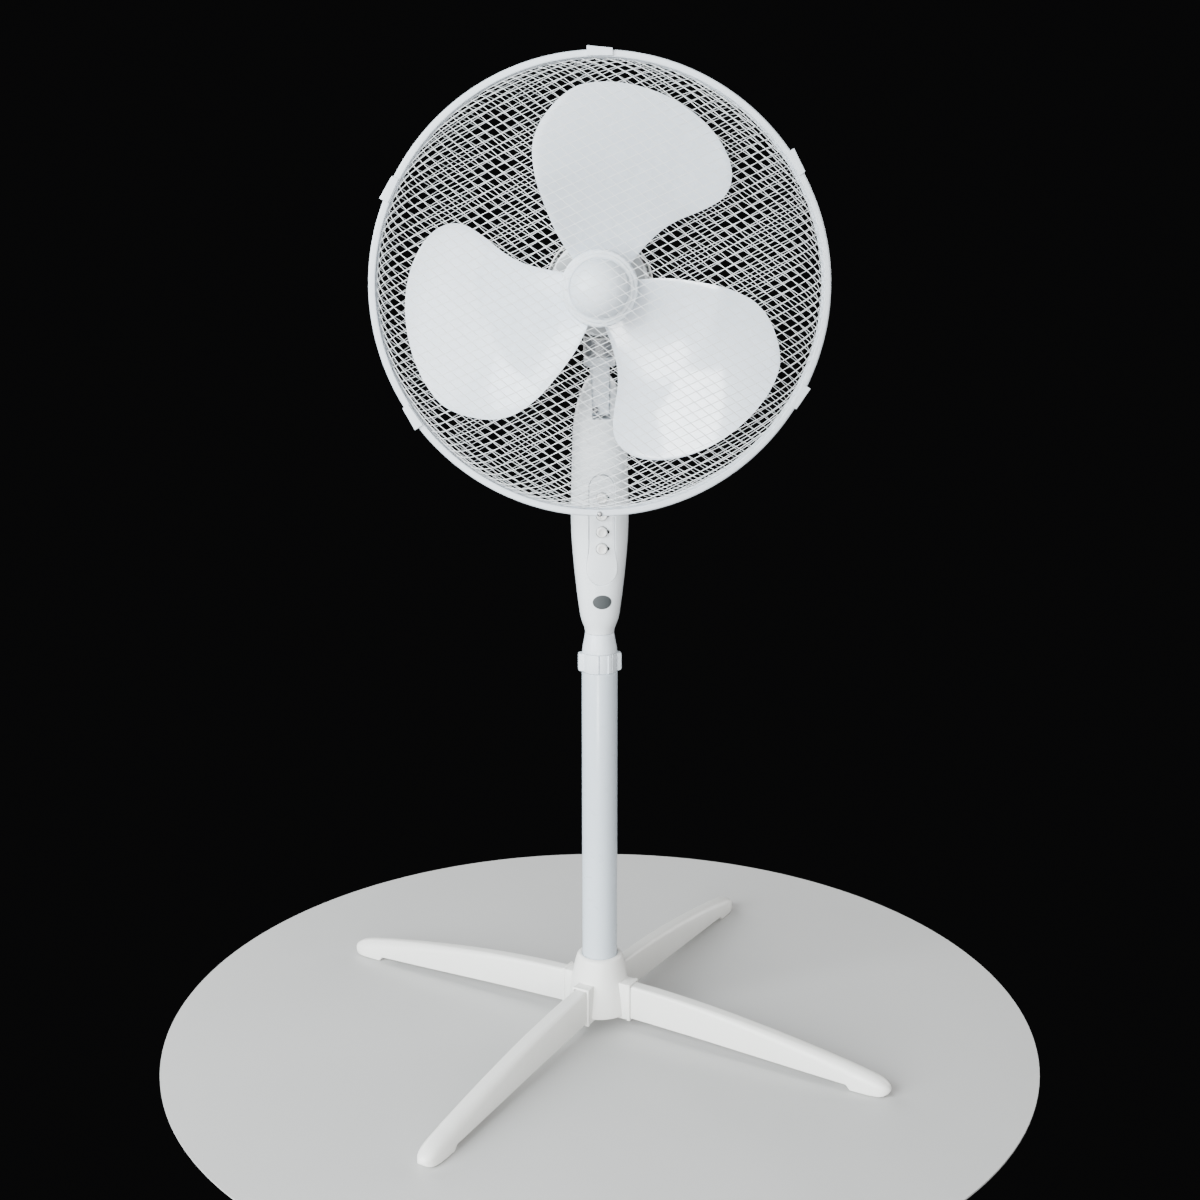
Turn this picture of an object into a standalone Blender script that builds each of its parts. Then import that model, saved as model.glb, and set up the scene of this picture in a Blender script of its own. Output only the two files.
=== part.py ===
"""Pedestal fan of the 40 cm class on a cross foot, with every piece it is assembled from.

Run it with: blender --background --python part.py
Metres, +Z up. The origin is on the floor on the pole's axis. The fan blows towards -Y.
"""

import math

import bmesh
import bpy
from mathutils import Matrix, Vector

MM = 0.001

# ---- driving dimensions -------------------------------------------------------------------

GAP = 0.3 * MM  # clearance between pieces that touch or run in each other

# Heights are counted from a datum level, and the soles of the foot pads are this much above it.
SOLE_HEIGHT = 6.0 * MM

AXIS_HEIGHT = 775.2 * MM  # fan axis, with the mast fully down
RIM_FORWARD = 86 * MM  # rim plane in front of the pole's axis
COLUMN_TURN = math.radians(6)  # the mast is turned this much under the head

LEG_TURN = math.radians(-29.5)
LEG_COUNT = 4
LEG_ROOT = 30.5 * MM  # where a leg starts inside the hub's socket
SOCKET_REACH = 41 * MM
LEG_SCREW = Vector((35.8, 0, 14.6)) * MM  # under the head of a leg's screw, for a leg along +X
PAD_REACH = 298 * MM
PAD_LENGTH = 23 * MM
PAD_HALF_WIDTH = 7 * MM
PAD_THICK = 2.4 * MM

POLE_RADIUS = 18.25 * MM
POLE_WALL = 1.2 * MM
POLE_FOOT = 34.5 * MM
POLE_TOP = 385.2 * MM
INNER_TUBE_RADIUS = 12.5 * MM

COLUMN_WALL = 2.1 * MM
COLUMN_SOLID_FROM = 640 * MM  # the column is hollow up to here
SLOT_HALF_WIDTH = 9.6 * MM
SLOT_FLOOR = 645 * MM
SLOT_BACK = 12.4 * MM
TILT_HEIGHT = 668 * MM
BOLT_RADIUS = 3 * MM
NECK_TOP = 705.8 * MM

PANEL_FACE = 21.4 * MM  # button panel's front, forward of the pole's axis
BUTTON_RADIUS = 5.6 * MM
BUTTON_PITCH = 17 * MM
BUTTON_LOWEST = 515.7 * MM
BUTTON_COUNT = 4

SWING_BOSS_RADIUS = 16.2 * MM

BLADE_COUNT = 3
CLIP_ANGLES = [math.radians(a) for a in (90, 32.5, -28.3, 214.2, 154.9)]
RIM_SCREW_RADIUS = 211 * MM

WHEEL_AXIS_X = 14.3 * MM  # worm wheel and crank, from the fan axis
GEAR_BACK = 133 * MM  # worm wheel and crank, behind the rim plane
CRANK_RADIUS = 11 * MM
CRANK_ANGLE = math.radians(67)
LINK_PIN = Vector((8.49, 22.45)) * MM  # fixed pin on the neck, from the pole's axis

# Column outline: height, half width, half depth
COLUMN_STATIONS = [
    (425.8, 14.75, 14.75), (430.5, 15.5, 15.5), (436.0, 17.5, 16.9), (442.2, 19.4, 18.0),
    (454.7, 21.3, 19.4), (467.2, 22.9, 20.5), (479.6, 24.3, 21.4), (492.0, 25.6, 22.1),
    (510.5, 27.3, 22.6), (529.0, 28.5, 22.8), (545.0, 28.9, 22.8), (562.0, 28.7, 22.8),
    (590.0, 28.1, 22.6), (613.0, 27.4, 22.0), (634.4, 26.6, 20.8), (655.0, 23.7, 19.0),
    (664.4, 21.4, 17.8), (674.6, 17.5, 16.0), (682.0, 13.9, 14.4), (686.5, 10.6, 12.4),
    (688.8, 7.4, 9.8),
]

# Leg outline: reach, half width, underside, top
LEG_STATIONS = [
    (30.5, 7.4, 17.7, 53.2), (42.0, 7.4, 17.7, 53.2), (80.0, 7.9, 17.0, 52.0),
    (130.0, 8.5, 15.8, 48.9), (180.0, 9.2, 14.2, 43.9), (230.0, 9.9, 12.6, 37.6),
    (270.0, 10.5, 11.5, 31.6), (279.5, 10.7, 11.3, 30.0), (283.5, 10.8, 6.6, 29.2),
    (297.0, 10.8, 6.6, 26.6), (308.0, 10.2, 6.6, 24.0), (315.5, 8.5, 7.2, 21.0),
    (320.0, 5.4, 9.4, 17.8), (321.8, 2.4, 11.8, 15.0),
]

# Hollow under a leg: reach, half width, top
LEG_CHANNEL = [(69.0, 5.4, 48.5), (150.0, 6.5, 42.0), (225.0, 7.6, 34.0), (267.5, 8.2, 28.0)]

# Blade outline at steps from root to tip: radius, angle of the rear edge, of the front edge
BLADE_EDGES = [
    (34, 36.8, 132.6), (50, 41.1, 130.4), (66, 42.4, 127.9), (80, 42.2, 125.4), (96, 40.2, 123),
    (112, 37.5, 120.9), (128, 35.8, 118.2), (142, 35.6, 115.4), (156, 38.2, 111), (168, 44, 105.6),
    (178, 54.6, 100.2), (184, 67.5, 95.2), (186.4, 80, 88),
]
BLADE_THICK = 2 * MM

RIM_SIDES = 48
MOTOR_SIDES = 26

# ---- scene, collections and materials ------------------------------------------------------


def clear_scene():
    for old in list(bpy.data.objects):
        bpy.data.objects.remove(old)


def new_collection(name, hidden=False):
    made = bpy.data.collections.new(name)
    made.hide_render = hidden
    bpy.context.scene.collection.children.link(made)
    return made


def material(name, colour, roughness, metallic=0.0):
    made = bpy.data.materials.new(name)
    made.use_nodes = True
    shader = made.node_tree.nodes["Principled BSDF"]
    shader.inputs["Base Color"].default_value = (*colour, 1)
    shader.inputs["Roughness"].default_value = roughness
    shader.inputs["Metallic"].default_value = metallic
    return made


clear_scene()
FAN = new_collection("pedestal_fan")
CUTTERS = new_collection("cutters", hidden=True)

WARM_WHITE = material("warm_white_plastic", (0.78, 0.78, 0.75), 0.35)
COOL_WHITE = material("cool_white_plastic", (0.74, 0.77, 0.79), 0.3)
POLE_WHITE = material("pole_enamel", (0.70, 0.74, 0.77), 0.3)
MESH_WHITE = material("mesh_enamel", (0.75, 0.76, 0.77), 0.4)
STEEL = material("bright_steel", (0.62, 0.62, 0.62), 0.25, 1.0)
MOTOR_GREY = material("cast_aluminium", (0.50, 0.51, 0.52), 0.5, 0.9)
LAMINATION = material("steel_lamination", (0.32, 0.32, 0.34), 0.5, 1.0)
COPPER = material("copper_winding", (0.62, 0.27, 0.12), 0.35, 1.0)
BRONZE = material("sintered_bronze", (0.45, 0.32, 0.16), 0.4, 1.0)
ACETAL = material("natural_acetal", (0.86, 0.85, 0.80), 0.4)
BLACK = material("black_plastic", (0.03, 0.03, 0.03), 0.45)
FOOT_GREY = material("foot_pad_elastomer", (0.68, 0.68, 0.66), 0.8)

# ---- modelling helpers ----------------------------------------------------------------------


def put(name, mesh, mat=None, parent=None, collection=None):
    """A new object for this mesh, in the parent's own frame."""
    made = bpy.data.objects.new(name, mesh)
    (collection or FAN).objects.link(made)
    made.parent = parent or DATUM
    if mat:
        mesh.materials.append(mat)
        mesh.shade_smooth()
        mesh.set_sharp_from_angle(angle=math.radians(32))
    return made


def as_cutter(obj):
    """Moves a helper shape to the cutters."""
    for holder in list(obj.users_collection):
        holder.objects.unlink(obj)
    CUTTERS.objects.link(obj)
    obj.hide_render = True
    obj.display_type = "WIRE"
    return obj


def boolean(target, other, operation="DIFFERENCE"):
    step = target.modifiers.new(f"{operation.lower()} {other.name}", "BOOLEAN")
    step.operation = operation
    step.object = as_cutter(other)
    return target


def empty(name, parent=None, location=(0, 0, 0), rotation=(0, 0, 0)):
    made = bpy.data.objects.new(name, None)
    made.empty_display_size = 0.02
    FAN.objects.link(made)
    made.parent = parent
    made.location = location
    made.rotation_euler = rotation
    return made


def mesh_of(build):
    """A mesh from a function that fills a bmesh."""
    bm = bmesh.new()
    build(bm)
    bmesh.ops.recalc_face_normals(bm, faces=bm.faces)
    mesh = bpy.data.meshes.new("mesh")
    bm.to_mesh(mesh)
    bm.free()
    return mesh


def box(name, low, high, mat=None, parent=None, bevel=0.0):
    """A box between two corners, in the parent's frame, with its edges rounded by bevel."""
    low, high = Vector(low), Vector(high)

    def build(bm):
        bmesh.ops.create_cube(bm, size=1)
        bmesh.ops.scale(bm, vec=high - low, verts=bm.verts)
        bmesh.ops.translate(bm, vec=(low + high) / 2, verts=bm.verts)

    made = put(name, mesh_of(build), mat, parent)
    if bevel:
        round_edges(made, bevel)
    return made


def round_edges(obj, width, segments=2):
    step = obj.modifiers.new("rounded edges", "BEVEL")
    step.width = width
    step.segments = segments
    step.limit_method = "ANGLE"
    return obj


TURN_TO = {
    "X": Matrix.Rotation(math.radians(90), 4, "Y"),
    "Y": Matrix.Rotation(math.radians(-90), 4, "X"),
    "Z": Matrix.Identity(4),
}


def cylinder(name, radius, start, length, axis="Z", mat=None, parent=None, sides=24, top=None):
    """A cylinder or cone from start along +axis, with its origin at start."""

    def build(bm):
        bmesh.ops.create_cone(
            bm, cap_ends=True, segments=sides, radius1=radius,
            radius2=radius if top is None else top, depth=length,
        )
        bmesh.ops.translate(bm, vec=(0, 0, length / 2), verts=bm.verts)
        bmesh.ops.transform(bm, matrix=TURN_TO[axis], verts=bm.verts)

    made = put(name, mesh_of(build), mat, parent)
    made.location = start
    return made


def turned(name, profile, mat=None, parent=None, sides=32, ring=False):
    """A solid turned about local Z. The profile is (radius, height) in mm, top to bottom outside."""
    points = [(r * MM, 0, z * MM) for r, z in profile]
    edges = [(i, i + 1) for i in range(len(points) - 1)]
    if ring:
        edges.append((len(points) - 1, 0))
    mesh = bpy.data.meshes.new(name)
    mesh.from_pydata(points, edges, [])
    made = put(name, mesh, None, parent)
    mesh.materials.append(mat)
    step = made.modifiers.new("turn", "SCREW")
    step.steps = step.render_steps = sides
    step.use_smooth_shade = True
    step.use_merge_vertices = True
    step.merge_threshold = 0.00001
    return made


def loft(name, rings, mat=None, parent=None):
    """A closed solid through rings that all have the same number of points."""

    def build(bm):
        loops = [[bm.verts.new(p) for p in ring] for ring in rings]
        for lower, upper in zip(loops, loops[1:]):
            for i in range(len(lower)):
                j = (i + 1) % len(lower)
                bm.faces.new((lower[i], lower[j], upper[j], upper[i]))
        bm.faces.new(loops[0])
        bm.faces.new(loops[-1])

    return put(name, mesh_of(build), mat, parent)


def plate(name, outline, thickness, mat=None, parent=None, matrix=None, holes=()):
    """A flat outline in local XY, extruded from z = 0 to thickness, as a mesh."""
    curve = bpy.data.curves.new(name, "CURVE")
    curve.dimensions = "2D"
    curve.fill_mode = "BOTH"
    curve.extrude = thickness / 2
    for loop in (outline, *holes):
        spline = curve.splines.new("POLY")
        spline.points.add(len(loop) - 1)
        for point, (x, y) in zip(spline.points, loop):
            point.co = (x, y, 0, 1)
        spline.use_cyclic_u = True
    drawn = bpy.data.objects.new(name, curve)
    FAN.objects.link(drawn)
    graph = bpy.context.evaluated_depsgraph_get()
    mesh = bpy.data.meshes.new_from_object(drawn.evaluated_get(graph))
    bpy.data.objects.remove(drawn)
    bm = bmesh.new()
    bm.from_mesh(mesh)
    bmesh.ops.remove_doubles(bm, verts=bm.verts, dist=0.000001)
    bmesh.ops.recalc_face_normals(bm, faces=bm.faces)
    bmesh.ops.translate(bm, vec=(0, 0, thickness / 2), verts=bm.verts)
    bmesh.ops.transform(bm, matrix=matrix or Matrix.Identity(4), verts=bm.verts)
    bmesh.ops.recalc_face_normals(bm, faces=bm.faces)
    bm.to_mesh(mesh)
    bm.free()
    return put(name, mesh, mat, parent)


def arc(centre, radius, start, end, count, squash=1.0):
    """Points on an arc, from start to end in degrees."""
    points = []
    for i in range(count):
        a = math.radians(start + (end - start) * i / (count - 1))
        points.append((centre[0] + radius * math.cos(a), centre[1] + radius * squash * math.sin(a)))
    return points


def circle(centre, radius, count=16):
    return arc(centre, radius, 0, 360, count + 1)[:-1]


# A frame whose local X, Y and Z run along Y, Z and X
ACROSS = Matrix(((0, 0, 1, 0), (1, 0, 0, 0), (0, 1, 0, 0), (0, 0, 0, 1)))


def facing(x, y, z):
    """A frame at this place whose local Z points to -Y."""
    return Matrix.Translation((x, y, z)) @ Matrix.Rotation(math.radians(90), 4, "X")


# ---- frames ------------------------------------------------------------------------------------

DATUM = empty("height_datum", None, (0, 0, -SOLE_HEIGHT))
MAST = empty("mast_frame", DATUM, (0, 0, 0), (0, 0, COLUMN_TURN))
TILT_AXIS = empty("tilt_axis", MAST, (0, 0, TILT_HEIGHT))
SWING_AXIS = empty("oscillation_axis", TILT_AXIS, (0, 0, -TILT_HEIGHT), (0, 0, -COLUMN_TURN))
FAN_AXIS = empty("fan_axis", SWING_AXIS, (0, -RIM_FORWARD, AXIS_HEIGHT), (math.radians(90), 0, 0))


def leg_direction(index):
    a = LEG_TURN + index * 2 * math.pi / LEG_COUNT
    return a, Matrix.Rotation(a, 4, "Z")


# ---- foot ----------------------------------------------------------------------------------------


def leg_ring(reach, half_width, under, top, top_round=4.0, under_round=1.5):
    """One section of a leg, across local X, in metres. The input is in mm."""
    top_round = min(top_round, half_width * 0.8, (top - under) * 0.4)
    under_round = min(under_round, half_width * 0.4)
    right = half_width - top_round
    low = half_width - under_round
    points = arc((low, under + under_round), under_round, -90, 0, 2)
    points += arc((right, top - top_round), top_round, 0, 90, 4)
    points += arc((-right, top - top_round), top_round, 90, 180, 4)
    points += arc((-low, under + under_round), under_round, 180, 270, 2)
    return [(reach * MM, y * MM, z * MM) for y, z in points]


def leg_channel(name, turn):
    """The hollow under a leg, open at the bottom."""
    rings = []
    for reach, half_width, top in LEG_CHANNEL:
        corners = ((half_width, -1), (half_width, top), (-half_width, top), (-half_width, -1))
        rings.append([turn @ Vector((reach * MM, y * MM, z * MM)) for y, z in corners])
    return loft(name, rings)


def pad_outline(grow=0.0):
    """A long round pad under the leg's end, for a leg along +X."""
    radius = PAD_HALF_WIDTH + grow
    half = PAD_LENGTH / 2 - PAD_HALF_WIDTH
    return arc((PAD_REACH + half, 0), radius, -90, 90, 7) + arc((PAD_REACH - half, 0), radius, 90, 270, 7)


def make_leg(index):
    angle, turn = leg_direction(index)
    rings = [[turn @ Vector(p) for p in leg_ring(*station)] for station in LEG_STATIONS]
    leg = loft(f"leg_{index + 1}", rings, WARM_WHITE)
    boolean(leg, leg_channel(f"leg_{index + 1}_channel", turn))

    screw_hole = cylinder(f"leg_{index + 1}_screw_hole", 1.9 * MM, turn @ LEG_SCREW, 17 * MM, "Z", None, None, 12)
    boolean(leg, screw_hole)
    screw = turned(
        f"leg_screw_{index + 1}",
        [(0, 15.4), (1.6, 14.4), (1.6, 0), (3.8, 0), (3.8, -1.4), (2.8, -2.4), (0, -2.4)],
        STEEL, sides=10,
    )
    screw.location = turn @ LEG_SCREW

    sole = turn @ Matrix.Translation((0, 0, SOLE_HEIGHT))
    pocket = plate(f"leg_{index + 1}_pad_pocket", pad_outline(GAP), 5 * MM, None, None, sole)
    pocket.location.z = PAD_THICK + GAP - 5 * MM
    boolean(leg, pocket)
    plate(f"foot_pad_{index + 1}", pad_outline(), PAD_THICK, FOOT_GREY, None, sole)
    return leg


def make_hub():
    bore = POLE_RADIUS / MM + 0.3
    hub = turned(
        "base_hub",
        [(0, POLE_FOOT / MM - 0.3), (bore, POLE_FOOT / MM - 0.3), (bore, 79.0), (bore + 0.6, 79.5),
         (21.4, 79.5), (23.2, 78.6), (24.4, 76.4), (26.4, 69.0), (28.8, 56.0), (31.4, 38.0),
         (33.2, 23.0), (33.4, 19.5), (27.0, 19.5), (26.0, 28.0), (0, 28.0)],
        WARM_WHITE, sides=32,
    )
    half = LEG_STATIONS[0][1] * MM
    under, top = LEG_STATIONS[0][2] * MM, LEG_STATIONS[0][3] * MM
    for index in range(LEG_COUNT):
        angle, _ = leg_direction(index)
        collar = box(
            f"socket_{index + 1}", (22 * MM, -half - 2.3 * MM, under - 2.2 * MM),
            (SOCKET_REACH, half + 2.3 * MM, top + 2.3 * MM),
        )
        collar.rotation_euler = (0, 0, angle)
        boolean(hub, collar, "UNION")
    for index in range(LEG_COUNT):
        angle, _ = leg_direction(index)
        pocket = box(
            f"pocket_{index + 1}", (LEG_ROOT - GAP, -half - GAP, under - GAP),
            (SOCKET_REACH + 5 * MM, half + GAP, top + GAP),
        )
        pocket.rotation_euler = (0, 0, angle)
        boolean(hub, pocket)
        start = Matrix.Rotation(angle, 3, "Z") @ LEG_SCREW
        boolean(hub, cylinder(f"hub_screw_hole_{index + 1}", 1.9 * MM, start, 5 * MM, "Z", None, None, 12))
    return hub


# ---- pole and height lock -------------------------------------------------------------------------


def make_pole():
    outer, inner = POLE_RADIUS / MM, (POLE_RADIUS - POLE_WALL) / MM
    turned(
        "outer_pole",
        [(outer, POLE_TOP / MM), (outer, POLE_FOOT / MM), (inner, POLE_FOOT / MM), (inner, POLE_TOP / MM)],
        POLE_WHITE, sides=32, ring=True,
    )
    bore = INNER_TUBE_RADIUS / MM + 0.3
    turned(
        "pole_bush",
        [(14.3, 425.4), (14.8, 424.9), (15.7, 419.6), (17.3, 411.0), (17.8, 407.0), (17.8, 405.3),
         (15.4, 405.3), (15.4, 385.5), (16.75, 385.2), (16.75, 347.0), (bore + 0.6, 345.0),
         (bore, 347.0), (bore, 425.4)],
        COOL_WHITE, sides=28, ring=True,
    )
    turned(
        "inner_tube",
        [(12.5, 470), (12.5, 110), (11.5, 110), (11.5, 470)],
        STEEL, MAST, sides=28, ring=True,
    )


def make_collar():
    """The height lock: a split ring with two grip lugs, level with the pole."""
    collar = turned(
        "height_lock_collar",
        [(17.4, 405.0), (18.1, 404.3), (18.1, 386.4), (17.6, 385.5), (15.8, 385.5), (15.8, 405.0)],
        COOL_WHITE, MAST, sides=32, ring=True,
    )
    low, high = 385.9, 404.9
    for side in (-1, 1):
        rings = []
        for reach, half, lower, upper in (
            (16.6, 5.5, low - 0.2, high - 0.2), (20.4, 4.6, low + 0.2, high - 0.6), (22.1, 3.6, low + 2.0, high - 2.4),
        ):
            corners = ((-half, lower), (half, lower), (half, upper), (-half, upper))
            rings.append([(side * reach * MM, y * MM, z * MM) for y, z in corners])
        boolean(collar, loft(f"lug_{side + 2}", rings, None, MAST), "UNION")
    groove = box("collar_groove", (-0.4 * MM, -19 * MM, 380 * MM), (0.4 * MM, -17.2 * MM, 410 * MM), None, MAST)
    boolean(collar, groove)
    return collar


# ---- column ------------------------------------------------------------------------------------------


def column_section(half_width, half_depth, start, end, count):
    """Points of a superellipse between two angles, in mm."""
    power = 2 / (2.0 + min(0.5, (half_width - 14.9) * 0.05))
    power = min(power, 1.0)
    points = []
    for i in range(count):
        a = math.radians(start + (end - start) * i / (count - 1))
        c, s = math.cos(a), math.sin(a)
        x = math.copysign(abs(c) ** power, c) * half_width
        y = math.copysign(abs(s) ** power, s) * half_depth
        points.append((x, y))
    return points


def column_half(name, front, mat):
    """Half of the column: a closed solid that ends just short of the plane between the halves."""
    sign = -1 if front else 1
    seam = 0.15
    rings = []
    for height, half_width, half_depth in COLUMN_STATIONS:
        points = column_section(half_width, half_depth, 0, 180, 13)
        ring = [(x * MM, sign * max(y, seam) * MM, height * MM) for x, y in points]
        rings.append(ring)
    return loft(name, rings, mat, MAST)


def column_cavity():
    wall = COLUMN_WALL / MM
    rings = []
    for height, half_width, half_depth in COLUMN_STATIONS:
        if height > COLUMN_SOLID_FROM / MM:
            break
        points = column_section(half_width - wall, half_depth - wall, 0, 360, 25)[:-1]
        rings.append([(x * MM, y * MM, height * MM) for x, y in points])
    rings.insert(0, [(x, y, z - 5 * MM) for x, y, z in rings[0]])
    return loft("column_cavity", rings, None, MAST)


def panel_outline(grow=0.0):
    """Outline of the button panel, in metres, from its own origin at the lowest button."""
    g = grow / MM
    top, neck, wide = 61.5, 5.0, -19.5
    points = arc((0, top), 12.4 + g, 0, 180, 11)
    points += [(-12.4 - g, neck), (-13.2 - g, -4.0), (-14.9 - g, -13.0)]
    points += arc((0, wide), 15.5 + g, 180, 360, 13, 17.6 / 15.5)
    points += [(14.9 + g, -13.0), (13.2 + g, -4.0), (12.4 + g, neck)]
    return [(x * MM, y * MM) for x, y in points]


def button_places():
    return [BUTTON_LOWEST + i * BUTTON_PITCH for i in range(BUTTON_COUNT)]


def make_column():
    front = column_half("column_front", True, WARM_WHITE)
    rear = column_half("column_rear", False, WARM_WHITE)
    cavity = column_cavity()
    boolean(front, cavity)
    boolean(rear, cavity)

    low, back, top = SLOT_FLOOR, SLOT_BACK, 720 * MM
    outline = [(-40 * MM, low), (back, low), (back, 664 * MM), (40 * MM, 664 * MM), (40 * MM, top), (-40 * MM, top)]
    slot = plate(
        "neck_slot", outline, 2 * SLOT_HALF_WIDTH, None, MAST,
        Matrix.Translation((-SLOT_HALF_WIDTH, 0, 0)) @ ACROSS,
    )
    boolean(front, slot)
    boolean(rear, slot)
    bore = cylinder("tilt_bore", BOLT_RADIUS + GAP, (-40 * MM, 0, TILT_HEIGHT), 80 * MM, "X", None, MAST, 16)
    boolean(front, bore)
    boolean(rear, bore)
    head_room = cylinder("bolt_head_room", 5.4 * MM, (-40 * MM, 0, TILT_HEIGHT), 22.5 * MM, "X", None, MAST, 16)
    boolean(front, head_room)
    boolean(rear, head_room)

    opening = plate(
        "panel_opening", panel_outline(GAP), 30 * MM, None, MAST, facing(0, -10 * MM, BUTTON_LOWEST),
    )
    boolean(front, opening)
    gland_hole = cylinder("gland_hole", 6.2 * MM, (0, 10 * MM, 462 * MM), 20 * MM, "Y", None, MAST, 16)
    boolean(rear, gland_hole)


def make_controls():
    thick = 2.4 * MM
    holes = [circle((0, z - BUTTON_LOWEST), BUTTON_RADIUS + 0.7 * MM, 20) for z in button_places()]
    plate(
        "button_panel", panel_outline(), thick, WARM_WHITE, MAST,
        facing(0, -PANEL_FACE + thick, BUTTON_LOWEST), holes,
    )
    for index, height in enumerate(button_places()):
        button = turned(
            f"speed_button_{BUTTON_COUNT - 1 - index}",
            [(0, 3.6), (4.4, 3.5), (5.3, 2.9), (5.6, 2.0), (5.6, -9.6), (0, -9.6)],
            WARM_WHITE, MAST, sides=20,
        )
        button.location = (0, -PANEL_FACE, height)
        button.rotation_euler = (math.radians(90), 0, 0)
    middle = BUTTON_LOWEST + 1.5 * BUTTON_PITCH
    box(
        "switch_block", (-9 * MM, -7.6 * MM, middle - 36 * MM), (9 * MM, 5 * MM, middle + 36 * MM),
        BLACK, MAST, 0.8 * MM,
    )
    box(
        "run_capacitor", (-16 * MM, -9 * MM, 594 * MM), (16 * MM, 3 * MM, 616 * MM), BLACK, MAST, 1.2 * MM,
    )
    gland = turned(
        "cord_gland",
        [(3.4, 12.5), (5.0, 12.2), (5.4, 6.4), (7.4, 6.0), (7.4, 4.7), (5.9, 4.6), (5.9, 0), (3.4, 0)],
        BLACK, MAST, sides=20, ring=True,
    )
    gland.location = (0, 16.3 * MM, 462 * MM)
    gland.rotation_euler = (math.radians(-90), 0, 0)


# ---- tilt joint -----------------------------------------------------------------------------------------


def make_tilt_joint():
    """The neck, in the tilt axis's frame: a tongue in the column's slot, a flange and the swing pin."""
    def at(height):
        return height - TILT_HEIGHT

    neck = box(
        "tilt_neck", (-9.2 * MM, -7.5 * MM, at(647.5 * MM)), (9.2 * MM, 7.5 * MM, at(697 * MM)),
        WARM_WHITE, TILT_AXIS, 2 * MM,
    )
    flange_low = at(696 * MM)
    flange = cylinder("neck_flange", 15.8 * MM, (0, 0, flange_low), NECK_TOP - 696 * MM, "Z", None, TILT_AXIS, 32)
    boolean(neck, flange, "UNION")
    pin = cylinder("swing_pin", 6 * MM, (0, 0, flange_low + 2 * MM), 30 * MM, "Z", None, TILT_AXIS, 20)
    boolean(neck, pin, "UNION")
    reach = Matrix.Rotation(-COLUMN_TURN, 2) @ LINK_PIN
    along = math.degrees(math.atan2(reach.y, reach.x))
    lug_outline = arc(reach, 4.6 * MM, along - 90, along + 90, 8) + arc((0, 0), 9 * MM, along + 90, along + 270, 5)
    lug = plate("link_lug", lug_outline, 6 * MM, None, TILT_AXIS, Matrix.Translation((0, 0, flange_low)))
    boolean(neck, lug, "UNION")
    stud = cylinder("link_stud", 1.8 * MM, (reach.x, reach.y, at(699 * MM)), 9.5 * MM, "Z", None, TILT_AXIS, 12)
    boolean(neck, stud, "UNION")
    bore = cylinder("neck_bore", BOLT_RADIUS + GAP, (-20 * MM, 0, 0), 40 * MM, "X", None, TILT_AXIS, 16)
    boolean(neck, bore)
    screw_hole = cylinder(
        "neck_screw_hole", 4.1 * MM, (-4.6 * MM, -10 * MM, at(652.6 * MM)), 6.5 * MM, "Y", None, TILT_AXIS, 16,
    )
    boolean(neck, screw_hole)

    screw = turned(
        "neck_screw",
        [(0, 2.2), (2.4, 1.8), (3.4, 0.6), (3.4, 0), (0, 0)],
        STEEL, TILT_AXIS, sides=16,
    )
    screw.location = (-4.6 * MM, -3.8 * MM, at(652.6 * MM))
    screw.rotation_euler = (math.radians(90), 0, 0)

    bolt = turned(
        "tilt_bolt",
        [(0, 54.0), (3.0, 54.0), (3.0, 2.6), (4.9, 2.4), (4.9, 0), (0, 0)],
        STEEL, MAST, sides=16,
    )
    bolt.location = (-20.4 * MM, 0, TILT_HEIGHT)
    bolt.rotation_euler = (0, math.radians(90), 0)

    rim = []
    for i in range(48):
        a = 2 * math.pi * i / 48
        r = (12.0 + 1.1 * math.cos(8 * a)) * MM
        rim.append((r * math.cos(a), r * math.sin(a)))
    knob = plate("tilt_knob", rim, 14 * MM, WARM_WHITE, MAST, TURN_TO["X"])
    knob.location = (24.4 * MM, 0, TILT_HEIGHT)
    round_edges(knob, 1.2 * MM, 1)
    boss = cylinder("knob_boss", 5 * MM, (-2.2 * MM, 0, 0), 4 * MM, "X", None, knob, 20)
    boolean(knob, boss, "UNION")
    thread = cylinder("knob_thread", BOLT_RADIUS + GAP, (-5 * MM, 0, 0), 17 * MM, "X", None, knob, 16)
    boolean(knob, thread)


# ---- motor ------------------------------------------------------------------------------------------------


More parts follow.
